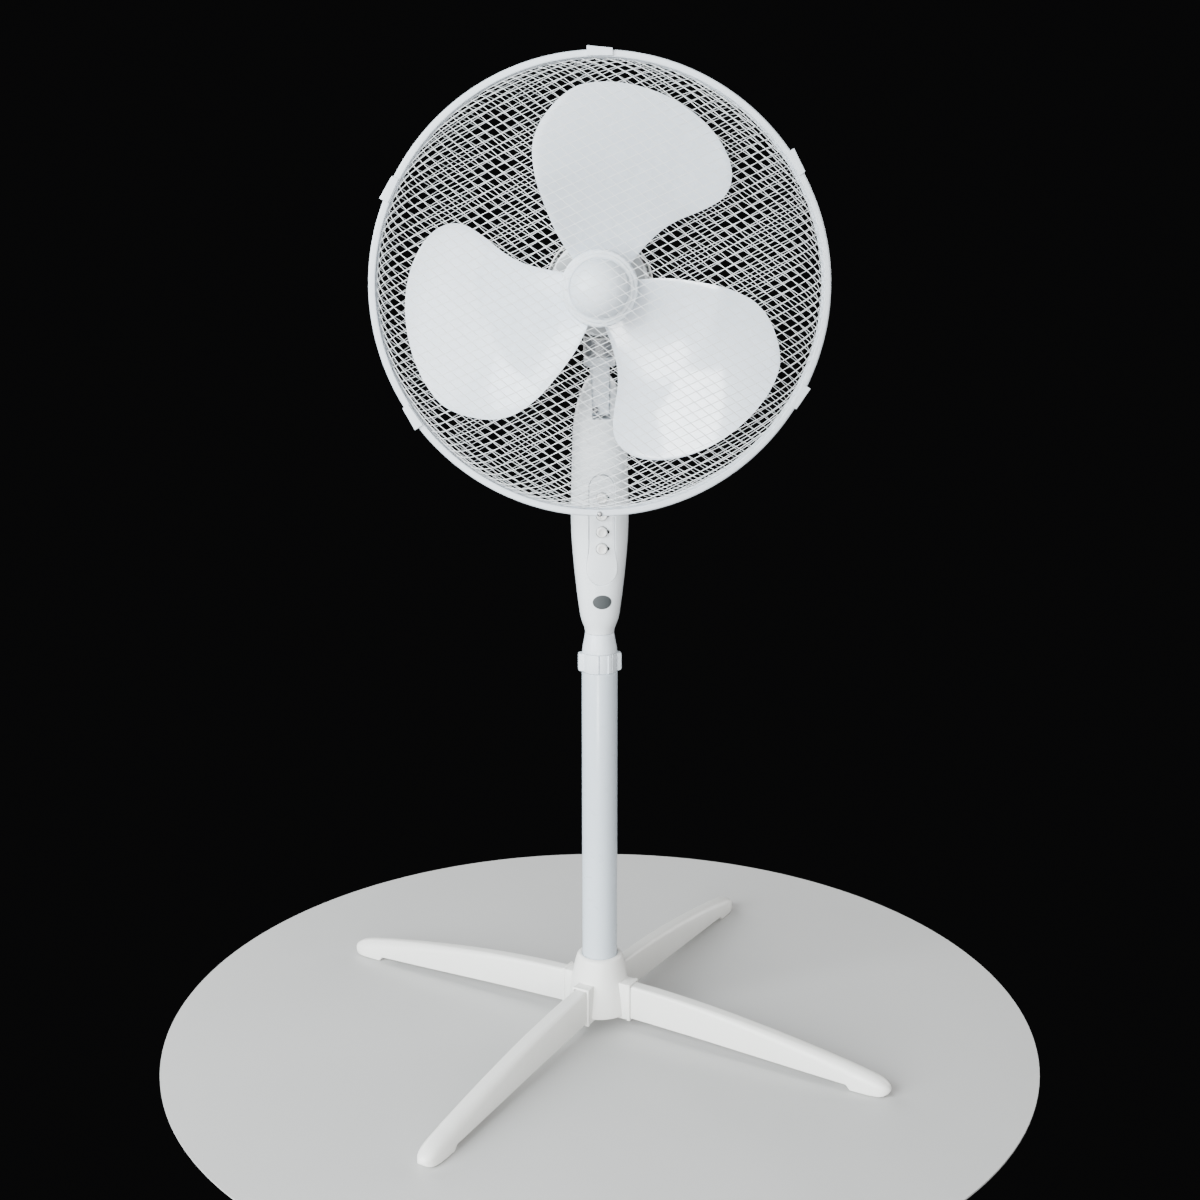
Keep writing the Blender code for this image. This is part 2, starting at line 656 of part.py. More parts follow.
def make_motor():
    """Motor pieces about the fan axis. Local Z is forward, 0 at the rim plane."""
    turned(
        "motor_front_shield",
        [(4.6, -44.5), (28.8, -44.5), (28.8, -53.0), (47.0, -54.6), (47.5, -57.0), (47.5, -68.6),
         (45.0, -68.6), (45.0, -57.5), (11.0, -57.5), (11.0, -60.2), (8.3, -60.2), (8.3, -52.0), (4.6, -52.0)],
        MOTOR_GREY, FAN_AXIS, sides=MOTOR_SIDES, ring=True,
    )
    rear = turned(
        "motor_rear_shield",
        [(47.5, -69.2), (47.5, -109.0), (46.0, -112.0), (8.0, -113.5), (4.6, -113.5), (4.6, -110.5),
         (8.3, -110.5), (8.3, -102.0), (11.0, -102.0), (11.0, -109.0), (45.0, -109.0), (45.0, -69.2)],
        MOTOR_GREY, FAN_AXIS, sides=MOTOR_SIDES, ring=True,
    )
    boss_low = NECK_TOP - AXIS_HEIGHT + 0.5 * MM
    boss = cylinder(
        "swing_boss", SWING_BOSS_RADIUS, (0, boss_low, -RIM_FORWARD), 30 * MM, "Y", None, FAN_AXIS, 24,
    )
    boolean(rear, boss, "UNION")
    boss_bore = cylinder(
        "swing_bore", 6 * MM + GAP, (0, boss_low - 5 * MM, -RIM_FORWARD), 29 * MM + 5 * MM, "Y", None, FAN_AXIS, 20,
    )
    boolean(rear, boss_bore)
    room = cylinder("rotor_room", 45 * MM, (0, 0, -109 * MM), 40 * MM, "Z", None, FAN_AXIS, MOTOR_SIDES)
    boolean(rear, room)

    turned(
        "stator_core",
        [(44.6, -68.0), (44.6, -96.0), (24.0, -96.0), (24.0, -68.0)], LAMINATION, FAN_AXIS, sides=MOTOR_SIDES, ring=True,
    )
    for name, start, end in (("front_winding", -60.6, -67.6), ("rear_winding", -96.4, -101.6)):
        turned(
            name,
            [(38.0, start), (39.5, start - 1.5), (39.5, end), (25.5, end), (25.5, start - 1.5), (27.0, start)],
            COPPER, FAN_AXIS, sides=MOTOR_SIDES, ring=True,
        )
    turned("rotor_core", [(23.4, -68.5), (23.4, -95.5), (4.3, -95.5), (4.3, -68.5)], LAMINATION, FAN_AXIS, 28, True)
    for name, top in (("front_bearing", -52.3), ("rear_bearing", -102.3)):
        turned(name, [(8.0, top), (8.0, top - 7.6), (4.3, top - 7.6), (4.3, top)], BRONZE, FAN_AXIS, 20, True)
    worm_start, worm_end = -(GEAR_BACK / MM) + 8, -(GEAR_BACK / MM) - 8
    turned(
        "motor_shaft",
        [(0, 30.0), (3.6, 30.0), (4.0, 29.4), (4.0, worm_start), (4.5, worm_start - 1), (4.5, worm_end + 1),
         (3.2, worm_end), (3.2, -146.5), (0, -146.5)],
        STEEL, FAN_AXIS, sides=20,
    )


def turned_hole(name, x, z, radius, low, high):
    """A vertical cutter in the fan axis's frame."""
    return cylinder(name, radius, (x, low, z), high - low, "Y", None, FAN_AXIS, 24)


def make_motor_cover():
    cover = turned(
        "motor_cover",
        [(0, -164.0), (21.4, -163.2), (34.6, -160.3), (43.4, -153.4), (48.2, -142.0), (49.8, -128.0),
         (50.2, -55.4), (51.4, -55.4), (52.0, -56.2), (52.0, -128.0), (50.4, -143.0), (45.4, -155.0),
         (36.0, -162.5), (22.0, -165.6), (0, -166.4)],
        WARM_WHITE, FAN_AXIS, sides=MOTOR_SIDES,
    )
    boolean(cover, turned_hole("cover_boss_hole", 0, -RIM_FORWARD, SWING_BOSS_RADIUS + 1 * MM, -70 * MM, -20 * MM))
    boolean(cover, turned_hole("cover_crank_hole", WHEEL_AXIS_X, -GEAR_BACK, 3.4 * MM, -70 * MM, -20 * MM))
    boolean(cover, turned_hole("cover_knob_hole", WHEEL_AXIS_X, -GEAR_BACK, 2.0 * MM, 20 * MM, 70 * MM))
    return cover


# ---- guard and blades ------------------------------------------------------------------------------------------


def dish(name, profile, mat):
    """A turned sheet of the guard. The profile is (radius, height) in mm, from the rim to the axis."""
    sheet = turned(name, profile, mat, FAN_AXIS, sides=RIM_SIDES)
    thick = sheet.modifiers.new("sheet thickness", "SOLIDIFY")
    thick.thickness = 1.5 * MM
    thick.offset = 0
    return sheet


def make_guard():
    """Two wire-mesh dishes, the two rings that hold their edges, and the nut on the motor's boss."""
    half = [(206.9, 0.3), (206.9, 3.1), (209.6, 3.1), (209.6, 5.3), (206.9, 5.3), (206.9, 9.9), (207.6, 10.5),
            (212.6, 10.5), (213.5, 9.6), (213.5, 0.3)]
    rings = []
    for name, side in (("front_ring", 1), ("rear_ring", -1)):
        profile = [(r, side * z) for r, z in half]
        if side < 0:
            profile.reverse()
        ring = turned(name, profile, WARM_WHITE, FAN_AXIS, sides=RIM_SIDES, ring=True)
        hole = cylinder(
            f"{name}_screw_hole", 1.7 * MM, (0, -RIM_SCREW_RADIUS, side * 5 * MM - 7 * MM), 14 * MM,
            "Z", None, FAN_AXIS, 12,
        )
        boolean(ring, hole)
        rings.append(ring)
    screw = turned(
        "rim_screw",
        [(0, 12.4), (1.8, 12.2), (2.6, 11.4), (2.6, 10.8), (1.4, 10.8), (1.4, -8.0), (0, -8.8)],
        STEEL, FAN_AXIS, sides=16,
    )
    screw.location = (0, -RIM_SCREW_RADIUS, 0)

    dish(
        "front_grille",
        [(209.1, 4.2), (206.0, 4.2), (204.4, 10.0), (197.6, 29.0), (184.5, 42.5), (161.0, 52.0), (120.0, 58.0),
         (0, 62.0)],
        MESH_WHITE,
    )
    dish(
        "rear_grille",
        [(209.1, -4.2), (206.0, -4.2), (204.4, -10.0), (197.6, -28.0), (184.5, -40.0), (161.0, -47.0),
         (120.0, -50.0), (60.0, -51.7), (29.5, -51.7)],
        MESH_WHITE,
    )
    nut = []
    for i in range(48):
        radius = 46 if i % 4 < 2 else 43.8
        a = 2 * math.pi * i / 48
        nut.append((radius * MM * math.cos(a), radius * MM * math.sin(a)))
    plate(
        "rear_grille_nut", nut, 5 * MM, WARM_WHITE, FAN_AXIS,
        Matrix.Translation((0, 0, -50.5 * MM)), [circle((0, 0), 29.2 * MM, 28)],
    )


def clip_section(proud):
    """Section of a clip, as (radius, height) in mm. The front finger's inner end is its hook."""
    inside, outside = 213.9, 213.9 + proud
    return [
        (207.6, 11.0), (208.4, 10.9), (inside, 10.9), (inside, -11.3), (209.6, -11.3), (209.2, -11.9), (210.2, -12.8),
        (outside - 0.4, -12.8), (outside, -12.0), (outside, 11.8), (outside - 0.6, 12.6), (208.4, 12.6), (207.6, 12.3),
    ]


def make_clips():
    """Clips over both rings. Each origin is on the clip's own hinge axis, at its front hook."""
    for index, angle in enumerate(CLIP_ANGLES):
        hook = Vector((207.9, 0, 11.8))
        rings = []
        for along, proud in ((-11.6, 0.8), (-9.6, 1.3), (9.4, 2.5), (11.6, 2.8)):
            rings.append([(Vector((r, along, z)) - hook) * MM for r, z in clip_section(proud)])
        clip = loft(f"rim_clip_{index + 1}", rings, WARM_WHITE, FAN_AXIS)
        clip.location = Matrix.Rotation(angle, 3, "Z") @ hook * MM
        clip.rotation_euler = (0, 0, angle)


def blade_sheet(index):
    """One blade as a thin helical sheet. Local Z is forward, and the rear edge leads."""
    across = 9
    points, faces = [], []
    for row, (radius, rear_edge, front_edge) in enumerate(BLADE_EDGES):
        pitch = 0.17 + 0.36 * min(1, (radius - 34) / 76)
        for column in range(across):
            share = column / (across - 1)
            degrees = rear_edge + (front_edge - rear_edge) * share
            swing = degrees - 76
            hollow = 3.2 * (1 - (swing / 52) ** 2)
            a = math.radians(degrees) + index * 2 * math.pi / BLADE_COUNT
            height = -4 + pitch * swing - hollow
            points.append((radius * MM * math.cos(a), radius * MM * math.sin(a), height * MM))
            if row and column:
                here = row * across + column
                faces.append((here - across - 1, here - across, here, here - 1))
    mesh = bpy.data.meshes.new("blade")
    mesh.from_pydata(points, [], faces)
    sheet = put(f"blade_{index + 1}_sheet", mesh, COOL_WHITE, FAN_AXIS)
    thick = sheet.modifiers.new("blade thickness", "SOLIDIFY")
    thick.thickness = BLADE_THICK
    thick.offset = 0
    return sheet


def make_blades():
    blades = turned(
        "blade_set",
        [(4.3, 12.0), (35.2, 12.0), (36.0, 11.2), (36.0, -20.0), (32.5, -20.0), (32.5, 8.8), (10.5, 8.8),
         (10.5, -18.0), (4.3, -18.0)],
        COOL_WHITE, FAN_AXIS, sides=32, ring=True,
    )
    for index in range(BLADE_COUNT):
        boolean(blades, blade_sheet(index), "UNION")
    turned(
        "spinner",
        [(0, 40.0), (9.0, 39.2), (17.0, 36.4), (23.4, 31.6), (26.8, 25.4), (27.6, 19.4), (34.6, 18.6),
         (35.6, 17.6), (35.6, 12.3), (33.4, 12.3), (33.4, 16.4), (25.4, 16.4), (24.6, 24.4),
         (18.6, 32.0), (9.0, 36.4), (9.0, 12.3), (4.3, 12.3), (4.3, 30.6), (0, 30.6)],
        COOL_WHITE, FAN_AXIS, sides=28,
    )


# ---- oscillation gear ------------------------------------------------------------------------------------------


def make_gearbox():
    low, high = Vector((-8.5, -14.5, -150.0)) * MM, Vector((27.0, 10.5, -113.8)) * MM
    wall = Vector((2, 2, 2)) * MM
    housing = box("gearbox_housing", low, high, MOTOR_GREY, FAN_AXIS)
    boolean(housing, box("gearbox_room", low + wall, high - wall + Vector((0, 10, 0)) * MM, None, FAN_AXIS))
    worm_hole = cylinder("worm_hole", 5.2 * MM, (0, 0, -118 * MM), 10 * MM, "Z", None, FAN_AXIS, 20)
    boolean(housing, worm_hole)
    boolean(housing, turned_hole("crank_hole", WHEEL_AXIS_X, -GEAR_BACK, 2.8 * MM, -20 * MM, -10 * MM))
    cover = box(
        "gearbox_cover", (low.x, 10.8 * MM, low.z), (high.x, 12.8 * MM, high.z), MOTOR_GREY, FAN_AXIS,
    )
    boolean(cover, turned_hole("rod_hole", WHEEL_AXIS_X, -GEAR_BACK, 1.8 * MM, 5 * MM, 20 * MM))


def upright(obj):
    """Puts an object modelled along Z on the vertical gear axis."""
    obj.parent = FAN_AXIS
    obj.location = (WHEEL_AXIS_X, 0, -GEAR_BACK)
    obj.rotation_euler = (math.radians(-90), 0, 0)
    return obj


def make_gear_train():
    teeth, tip, root = 40, 9.5, 8.5
    outline = []
    for i in range(2 * teeth):
        radius = (root if i % 2 else tip) * MM
        a = math.pi * i / teeth
        outline.append((radius * math.cos(a), radius * math.sin(a)))
    wheel = plate("worm_wheel", outline, 6 * MM, ACETAL, None, Matrix.Translation((0, 0, -3 * MM)))
    boolean(upright(wheel), upright(cylinder("wheel_hub", 4 * MM, (0, 0, 0), 5 * MM, "Z", None, None, 16)), "UNION")

    knob = turned(
        "oscillation_knob",
        [(0, 70.0), (4.6, 69.6), (6.4, 68.2), (6.6, 66.0), (5.2, 60.0), (5.2, 56.6), (1.5, 56.6), (1.5, 12.0),
         (0, 12.0)],
        WARM_WHITE, sides=20,
    )
    upright(knob)

    crank_low = 706.3 * MM - AXIS_HEIGHT
    crank = plate(
        "crank",
        arc((0, 0), 4.5 * MM, 90, 270, 8) + arc((CRANK_RADIUS, 0), 4.0 * MM, -90, 90, 8),
        3.2 * MM, STEEL, None, Matrix.Translation((0, 0, crank_low)),
    )
    shaft = cylinder("crank_shaft", 2.5 * MM, (0, 0, crank_low), -crank_low - 4 * MM, "Z", None, None, 16)
    boolean(crank, shaft, "UNION")
    pin_low = crank_low - 4.4 * MM
    pin = cylinder("crank_pin", 1.8 * MM, (CRANK_RADIUS, 0, pin_low), 6 * MM, "Z", None, None, 12)
    boolean(crank, pin, "UNION")
    place = Matrix.Translation((WHEEL_AXIS_X, GEAR_BACK - RIM_FORWARD, AXIS_HEIGHT))
    for piece in (crank, shaft, pin):
        start = Matrix.Translation(piece.location)
        piece.parent = SWING_AXIS
        piece.matrix_basis = place @ Matrix.Rotation(CRANK_ANGLE, 4, "Z") @ start
    return crank


def make_link():
    """The link from the neck's stud to the crank's pin, with play in the hole at the crank."""
    centre = Vector((WHEEL_AXIS_X, GEAR_BACK - RIM_FORWARD))
    pin = centre + CRANK_RADIUS * Vector((math.cos(CRANK_ANGLE), math.sin(CRANK_ANGLE)))
    along = pin - LINK_PIN
    ends = arc((along.length, 0), 4.4 * MM, -90, 90, 8) + arc((0, 0), 4.4 * MM, 90, 270, 8)
    holes = [circle((0, 0), 2.1 * MM, 12), circle((along.length, 0), 2.6 * MM, 12)]
    link = plate("link_arm", ends, 3 * MM, STEEL, TILT_AXIS, None, holes)
    spot = Matrix.Rotation(-COLUMN_TURN, 2) @ LINK_PIN
    link.location = (spot.x, spot.y, 702.6 * MM - TILT_HEIGHT)
    link.rotation_euler = (0, 0, math.atan2(along.y, along.x) - COLUMN_TURN)


# ---- run -----------------------------------------------------------------------------------------------------

make_hub()
for leg_index in range(LEG_COUNT):
    make_leg(leg_index)
make_pole()
make_collar()
make_column()
make_controls()
make_tilt_joint()
make_motor()
make_motor_cover()
make_guard()
make_clips()
make_blades()
make_gearbox()
make_gear_train()
make_link()
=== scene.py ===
"""The pedestal fan's looks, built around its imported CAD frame. Metres, +Z up, the fan blows towards -Y."""

import math

import bmesh
import bpy
import numpy as np
from mathutils import Matrix, Vector, bvhtree


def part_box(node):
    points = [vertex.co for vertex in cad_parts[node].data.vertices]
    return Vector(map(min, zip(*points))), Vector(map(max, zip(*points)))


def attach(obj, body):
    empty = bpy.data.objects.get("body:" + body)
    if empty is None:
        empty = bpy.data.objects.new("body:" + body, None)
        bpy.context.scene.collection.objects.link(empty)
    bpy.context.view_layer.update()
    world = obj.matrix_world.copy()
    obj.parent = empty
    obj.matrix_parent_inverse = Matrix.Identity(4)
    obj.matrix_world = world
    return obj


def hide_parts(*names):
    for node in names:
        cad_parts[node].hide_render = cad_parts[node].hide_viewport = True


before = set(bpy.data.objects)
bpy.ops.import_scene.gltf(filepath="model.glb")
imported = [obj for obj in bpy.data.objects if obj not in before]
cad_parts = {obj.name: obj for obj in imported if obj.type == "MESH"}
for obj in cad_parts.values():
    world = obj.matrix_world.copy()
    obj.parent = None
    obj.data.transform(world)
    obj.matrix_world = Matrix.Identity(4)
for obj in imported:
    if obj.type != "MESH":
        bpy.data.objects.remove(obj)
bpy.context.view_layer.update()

MM = 0.001
TAU = 2 * math.pi

# ---- places taken from the frame -----------------------------------------------------------------

# Heights are counted in mm from a datum level, at which the sockets of the hub start at 15.5.
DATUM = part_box("base_hub")[0].z - 15.5 * MM
ring_low, ring_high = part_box("front_ring")
AXIS_HEIGHT = (ring_low.z + ring_high.z) / 2
RIM_Y = ring_high.y + 0.3 * MM
POLE_TOP = (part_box("outer_pole")[1].z - DATUM) / MM
POLE_FOOT = (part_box("outer_pole")[0].z - DATUM) / MM
TILT_HEIGHT = (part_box("tilt_bolt")[0].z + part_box("tilt_bolt")[1].z) / 2 - DATUM
COLUMN_TURN = math.radians(6)

STAND = Matrix.Translation((0, 0, DATUM))
MAST = STAND @ Matrix.Rotation(COLUMN_TURN, 4, "Z")
NO_TURN = Matrix.Identity(4)
FACE_FRONT = Matrix.Rotation(math.radians(90), 4, "X")  # turns local Z towards the front
HEAD = Matrix.Translation((0, RIM_Y, AXIS_HEIGHT)) @ FACE_FRONT

PANEL_HEIGHT = 515.7  # of the lowest button
BADGE_CENTRE = (0.4, 461)
BADGE_HALF = (9.5, 7.3)
LEG_TURNS = [math.radians(-29.5 + 90 * i) for i in range(4)]
CLIP_ANGLES = [math.radians(a) for a in (90, 32.5, -28.3, 214.2, 154.9)]

# ---- materials -----------------------------------------------------------------------------------


class Look:
    """A node material: a Principled shader with small procedural helpers."""

    def __init__(self, name, colour, roughness, metallic=0.0, coat=0.0, coat_roughness=0.12):
        self.made = bpy.data.materials.new(name)
        self.made.use_nodes = True
        self.tree = self.made.node_tree
        self.shader = self.tree.nodes["Principled BSDF"]
        self.colour = colour
        self.shader.inputs["Base Color"].default_value = (*colour, 1)
        self.shader.inputs["Roughness"].default_value = roughness
        self.shader.inputs["Metallic"].default_value = metallic
        self.shader.inputs["Coat Weight"].default_value = coat
        self.shader.inputs["Coat Roughness"].default_value = coat_roughness
        self.place = self.node("ShaderNodeTexCoord").outputs["Object"]
        self.height = None

    def node(self, kind, **values):
        made = self.tree.nodes.new(kind)
        for key, value in values.items():
            if hasattr(made, key):
                setattr(made, key, value)
            else:
                made.inputs[key.replace("_", " ").title()].default_value = value
        return made

    def link(self, out, into):
        self.tree.links.new(out, into)

    def stretched(self, scale):
        mapping = self.node("ShaderNodeMapping")
        mapping.inputs["Scale"].default_value = scale
        self.link(self.place, mapping.inputs["Vector"])
        return mapping.outputs["Vector"]

    def noise(self, scale, detail=3.0, stretch=None):
        made = self.node("ShaderNodeTexNoise", scale=scale, detail=detail, roughness=0.55)
        self.link(self.stretched(stretch) if stretch else self.place, made.inputs["Vector"])
        return made.outputs["Fac"]

    def spread(self, fac, low, high, start=0.3, end=0.7):
        made = self.node("ShaderNodeMapRange")
        made.inputs["From Min"].default_value = start
        made.inputs["From Max"].default_value = end
        made.inputs["To Min"].default_value = low
        made.inputs["To Max"].default_value = high
        self.link(fac, made.inputs["Value"])
        return made.outputs["Result"]

    def tint(self, fac, other, start=0.3, end=0.7):
        """Blends the base colour towards another one where fac is high."""
        mix = self.node("ShaderNodeMix", data_type="RGBA")
        before = self.shader.inputs["Base Color"]
        if before.is_linked:
            self.link(before.links[0].from_socket, mix.inputs[6])
        else:
            mix.inputs[6].default_value = (*self.colour, 1)
        mix.inputs[7].default_value = (*other, 1)
        self.link(self.spread(fac, 0, 1, start, end), mix.inputs[0])
        self.link(mix.outputs[2], self.shader.inputs["Base Color"])
        return self

    def rough(self, fac, low, high):
        self.link(self.spread(fac, low, high), self.shader.inputs["Roughness"])
        return self

    def bump(self, fac, distance, strength=1.0):
        made = self.node("ShaderNodeBump")
        made.inputs["Distance"].default_value = distance
        made.inputs["Strength"].default_value = strength
        self.link(fac, made.inputs["Height"])
        if self.height:
            self.link(self.height, made.inputs["Normal"])
        self.height = made.outputs["Normal"]
        self.link(self.height, self.shader.inputs["Normal"])
        return self


def moulded(name, colour, shade, roughness, coat=0.0, coat_roughness=0.12, depth=0.00003):
    """Moulded white plastic: slow colour drift, a few faint flow streaks, fine surface grain."""
    look = Look(name, colour, roughness, coat=coat, coat_roughness=coat_roughness)
    look.tint(look.noise(9, 4), shade, 0.42, 0.72)
    look.tint(look.noise(60, 3, stretch=(1, 1, 0.25)), tuple(0.97 * c for c in colour), 0.5, 0.75)
    look.rough(look.noise(35, 4), roughness - 0.05, roughness + 0.08)
    look.bump(look.noise(240, 2), depth * 1.5, 0.35)
    look.bump(look.noise(1800, 2), depth, 0.5)
    return look.made


def brushed(name, colour, roughness, stretch=(1, 1, 30)):
    look = Look(name, colour, roughness, metallic=1.0)
    look.tint(look.noise(120, 3), tuple(0.8 * c for c in colour), 0.4, 0.75)
    look.rough(look.noise(900, 2, stretch=stretch), roughness - 0.08, roughness + 0.12)
    look.bump(look.noise(1500, 2, stretch=stretch), 0.00002, 0.5)
    return look.made


def banded(name, colour, other, scale, direction, depth, roughness, metallic):
    """Stripes across one axis, for stacked sheets and wound wire."""
    look = Look(name, colour, roughness, metallic=metallic)
    wave = look.node("ShaderNodeTexWave", wave_type="BANDS", bands_direction=direction)
    wave.inputs["Scale"].default_value = scale
    wave.inputs["Distortion"].default_value = 0.6
    wave.inputs["Detail"].default_value = 1.0
    look.link(look.place, wave.inputs["Vector"])
    look.tint(wave.outputs["Fac"], other, 0.2, 0.8)
    look.bump(wave.outputs["Fac"], depth, 0.8)
    look.rough(look.noise(200, 3), roughness - 0.06, roughness + 0.1)
    return look.made


WARM = moulded("white_moulding", (0.80, 0.80, 0.775), (0.77, 0.765, 0.735), 0.36)
COLUMN_WHITE = moulded("column_moulding", (0.76, 0.80, 0.835), (0.74, 0.775, 0.80), 0.3, coat=0.12)
COOL = moulded("cool_moulding", (0.71, 0.765, 0.82), (0.69, 0.745, 0.80), 0.3, coat=0.12)
BLADE_WHITE = moulded("blade_moulding", (0.725, 0.785, 0.855), (0.71, 0.77, 0.84), 0.24, 0.8, 0.05, 0.00002)
RING_WHITE = moulded("ring_moulding", (0.665, 0.715, 0.77), (0.64, 0.69, 0.745), 0.34)
KNOB_WHITE = moulded("knob_moulding", (0.81, 0.81, 0.80), (0.78, 0.78, 0.76), 0.28, coat=0.2)


def pole_enamel():
    look = Look("pole_enamel", (0.545, 0.61, 0.67), 0.3, coat=0.25)
    look.tint(look.noise(14, 3, stretch=(1, 1, 0.3)), (0.53, 0.595, 0.655), 0.4, 0.75)
    look.rough(look.noise(90, 3), 0.26, 0.38)
    look.bump(look.noise(420, 3), 0.00005, 0.35)
    return look.made


def mesh_enamel():
    look = Look("mesh_enamel", (0.78, 0.805, 0.82), 0.38, coat=0.1)
    look.tint(look.noise(45, 3), (0.74, 0.765, 0.78), 0.45, 0.75)
    look.rough(look.noise(120, 2), 0.32, 0.46)
    look.bump(look.noise(700, 2), 0.00004, 0.5)
    return look.made


POLE_WHITE = pole_enamel()
MESH_WHITE = mesh_enamel()
# The rear nut's grey is painted shade: its colour is darkened to the shade it sits in behind the blades and
# under the motor.
NUT_PAINTED_SHADE = moulded("nut_painted_shade", (0.40, 0.42, 0.43), (0.36, 0.38, 0.39), 0.42)
BADGE = moulded("badge_grey", (0.048, 0.055, 0.058), (0.036, 0.042, 0.045), 0.5)
PAD = moulded("foot_pad_elastomer", (0.60, 0.60, 0.575), (0.52, 0.52, 0.50), 0.7, depth=0.00006)
BLACK = moulded("black_moulding", (0.03, 0.03, 0.032), (0.022, 0.022, 0.024), 0.45)
ACETAL = moulded("natural_acetal", (0.82, 0.80, 0.74), (0.76, 0.74, 0.68), 0.4)
STEEL = brushed("bright_steel", (0.60, 0.60, 0.61), 0.28)
SCREW_STEEL = brushed("screw_steel", (0.40, 0.40, 0.41), 0.36, (1, 1, 1))
CAST = brushed("cast_aluminium", (0.38, 0.39, 0.40), 0.5, (1, 1, 1))
BRONZE = brushed("sintered_bronze", (0.42, 0.30, 0.15), 0.45, (1, 1, 1))
LAMINATION = banded("steel_lamination", (0.34, 0.34, 0.36), (0.16, 0.16, 0.17), 320, "Y", 0.0002, 0.45, 1.0)
COPPER = banded("copper_winding", (0.66, 0.30, 0.14), (0.38, 0.15, 0.06), 260, "Y", 0.0004, 0.34, 0.9)

# ---- shape helpers -------------------------------------------------------------------------------


CORNER_STEPS = 3  # straight pieces in a rounded corner


def smooth_curve(stations, per_span):
    """Points of a Catmull-Rom curve through rows of numbers. It passes through every row."""
    rows = [np.array(s, float) for s in stations]
    ends = [2 * rows[0] - rows[1], *rows, 2 * rows[-1] - rows[-2]]
    made = []
    for a, b, c, d in zip(ends, ends[1:], ends[2:], ends[3:]):
        for i in range(per_span):
            t = i / per_span
            bend = (2 * a - 5 * b + 4 * c - d) * t**2 + (3 * b - a - 3 * c + d) * t**3
            made.append(0.5 * (2 * b + (c - a) * t + bend))
    made.append(rows[-1])
    return made


def softened(points, radius, closed=False):
    """The same outline with each corner rounded. A point with a third value has its own radius."""
    made, count = [], len(points)
    for i, point in enumerate(points):
        here = Vector(point[:2])
        if not closed and i in (0, count - 1):
            made.append(here)
            continue
        before, after = Vector(points[i - 1][:2]), Vector(points[(i + 1) % count][:2])
        reach = point[2] if len(point) > 2 else radius
        back, on = before - here, after - here
        reach = min(reach, 0.48 * back.length, 0.48 * on.length)
        if reach < 1e-6 or abs(back.angle(on) - math.pi) < 0.1:
            made.append(here)
            continue
        start, end = here + back.normalized() * reach, here + on.normalized() * reach
        for step in range(CORNER_STEPS + 1):
            t = step / CORNER_STEPS
            made.append(start * (1 - t) ** 2 + here * 2 * t * (1 - t) + end * t**2)
    return made


def finish_mesh(bm, matrix, sharp):
    bmesh.ops.transform(bm, matrix=matrix, verts=bm.verts)
    bmesh.ops.recalc_face_normals(bm, faces=bm.faces)
    mesh = bpy.data.meshes.new("piece")
    bm.to_mesh(mesh)
    bm.free()
    mesh.shade_smooth()
    mesh.set_sharp_from_angle(angle=math.radians(sharp))
    return mesh


def piece(name, mesh, look, body, replaces=()):
    """Adds a finished mesh as a visible piece on a CAD body."""
    made = bpy.data.objects.new(name, mesh)
    bpy.context.scene.collection.objects.link(made)
    if not mesh.materials:
        mesh.materials.append(look)
    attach(made, body)
    if replaces:
        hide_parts(*replaces)
    return made


def turned_mesh(profile, matrix=NO_TURN, sides=96, soft=0.4, ring=False, ripple=None, sharp=40):
    """A solid turned about local Z from a (radius, height) profile in mm. ripple() moves a point's radius."""
    outline = softened(profile, soft, ring)
    bm = bmesh.new()
    rows = []
    for point in outline:
        if point.x < 1e-6:
            rows.append([bm.verts.new((0, 0, point.y * MM))])
            continue
        row = []
        for i in range(sides):
            a = TAU * i / sides
            r = point.x + (ripple(point.x, point.y, a) if ripple else 0)
            row.append(bm.verts.new((r * MM * math.cos(a), r * MM * math.sin(a), point.y * MM)))
        rows.append(row)
    pairs = list(zip(rows, rows[1:]))
    if ring:
        pairs.append((rows[-1], rows[0]))
    for upper, lower in pairs:
        for i in range(sides):
            j = (i + 1) % sides
            corners = [upper[i % len(upper)], upper[j % len(upper)]]
            corners += [lower[j % len(lower)], lower[i % len(lower)]]
            corners = list(dict.fromkeys(corners))
            if len(corners) > 2:
                bm.faces.new(corners)
    return finish_mesh(bm, matrix, sharp)


def loft_mesh(rings, matrix=NO_TURN, sharp=40):
    """A closed solid through rings in mm that have the same number of points."""
    bm = bmesh.new()
    loops = [[bm.verts.new(Vector(p) * MM) for p in ring] for ring in rings]
    for lower, upper in zip(loops, loops[1:]):
        for i in range(len(lower)):
            j = (i + 1) % len(lower)
            bm.faces.new((lower[i], lower[j], upper[j], upper[i]))
    bm.faces.new(loops[0])
    bm.faces.new(loops[-1])
    return finish_mesh(bm, matrix, sharp)


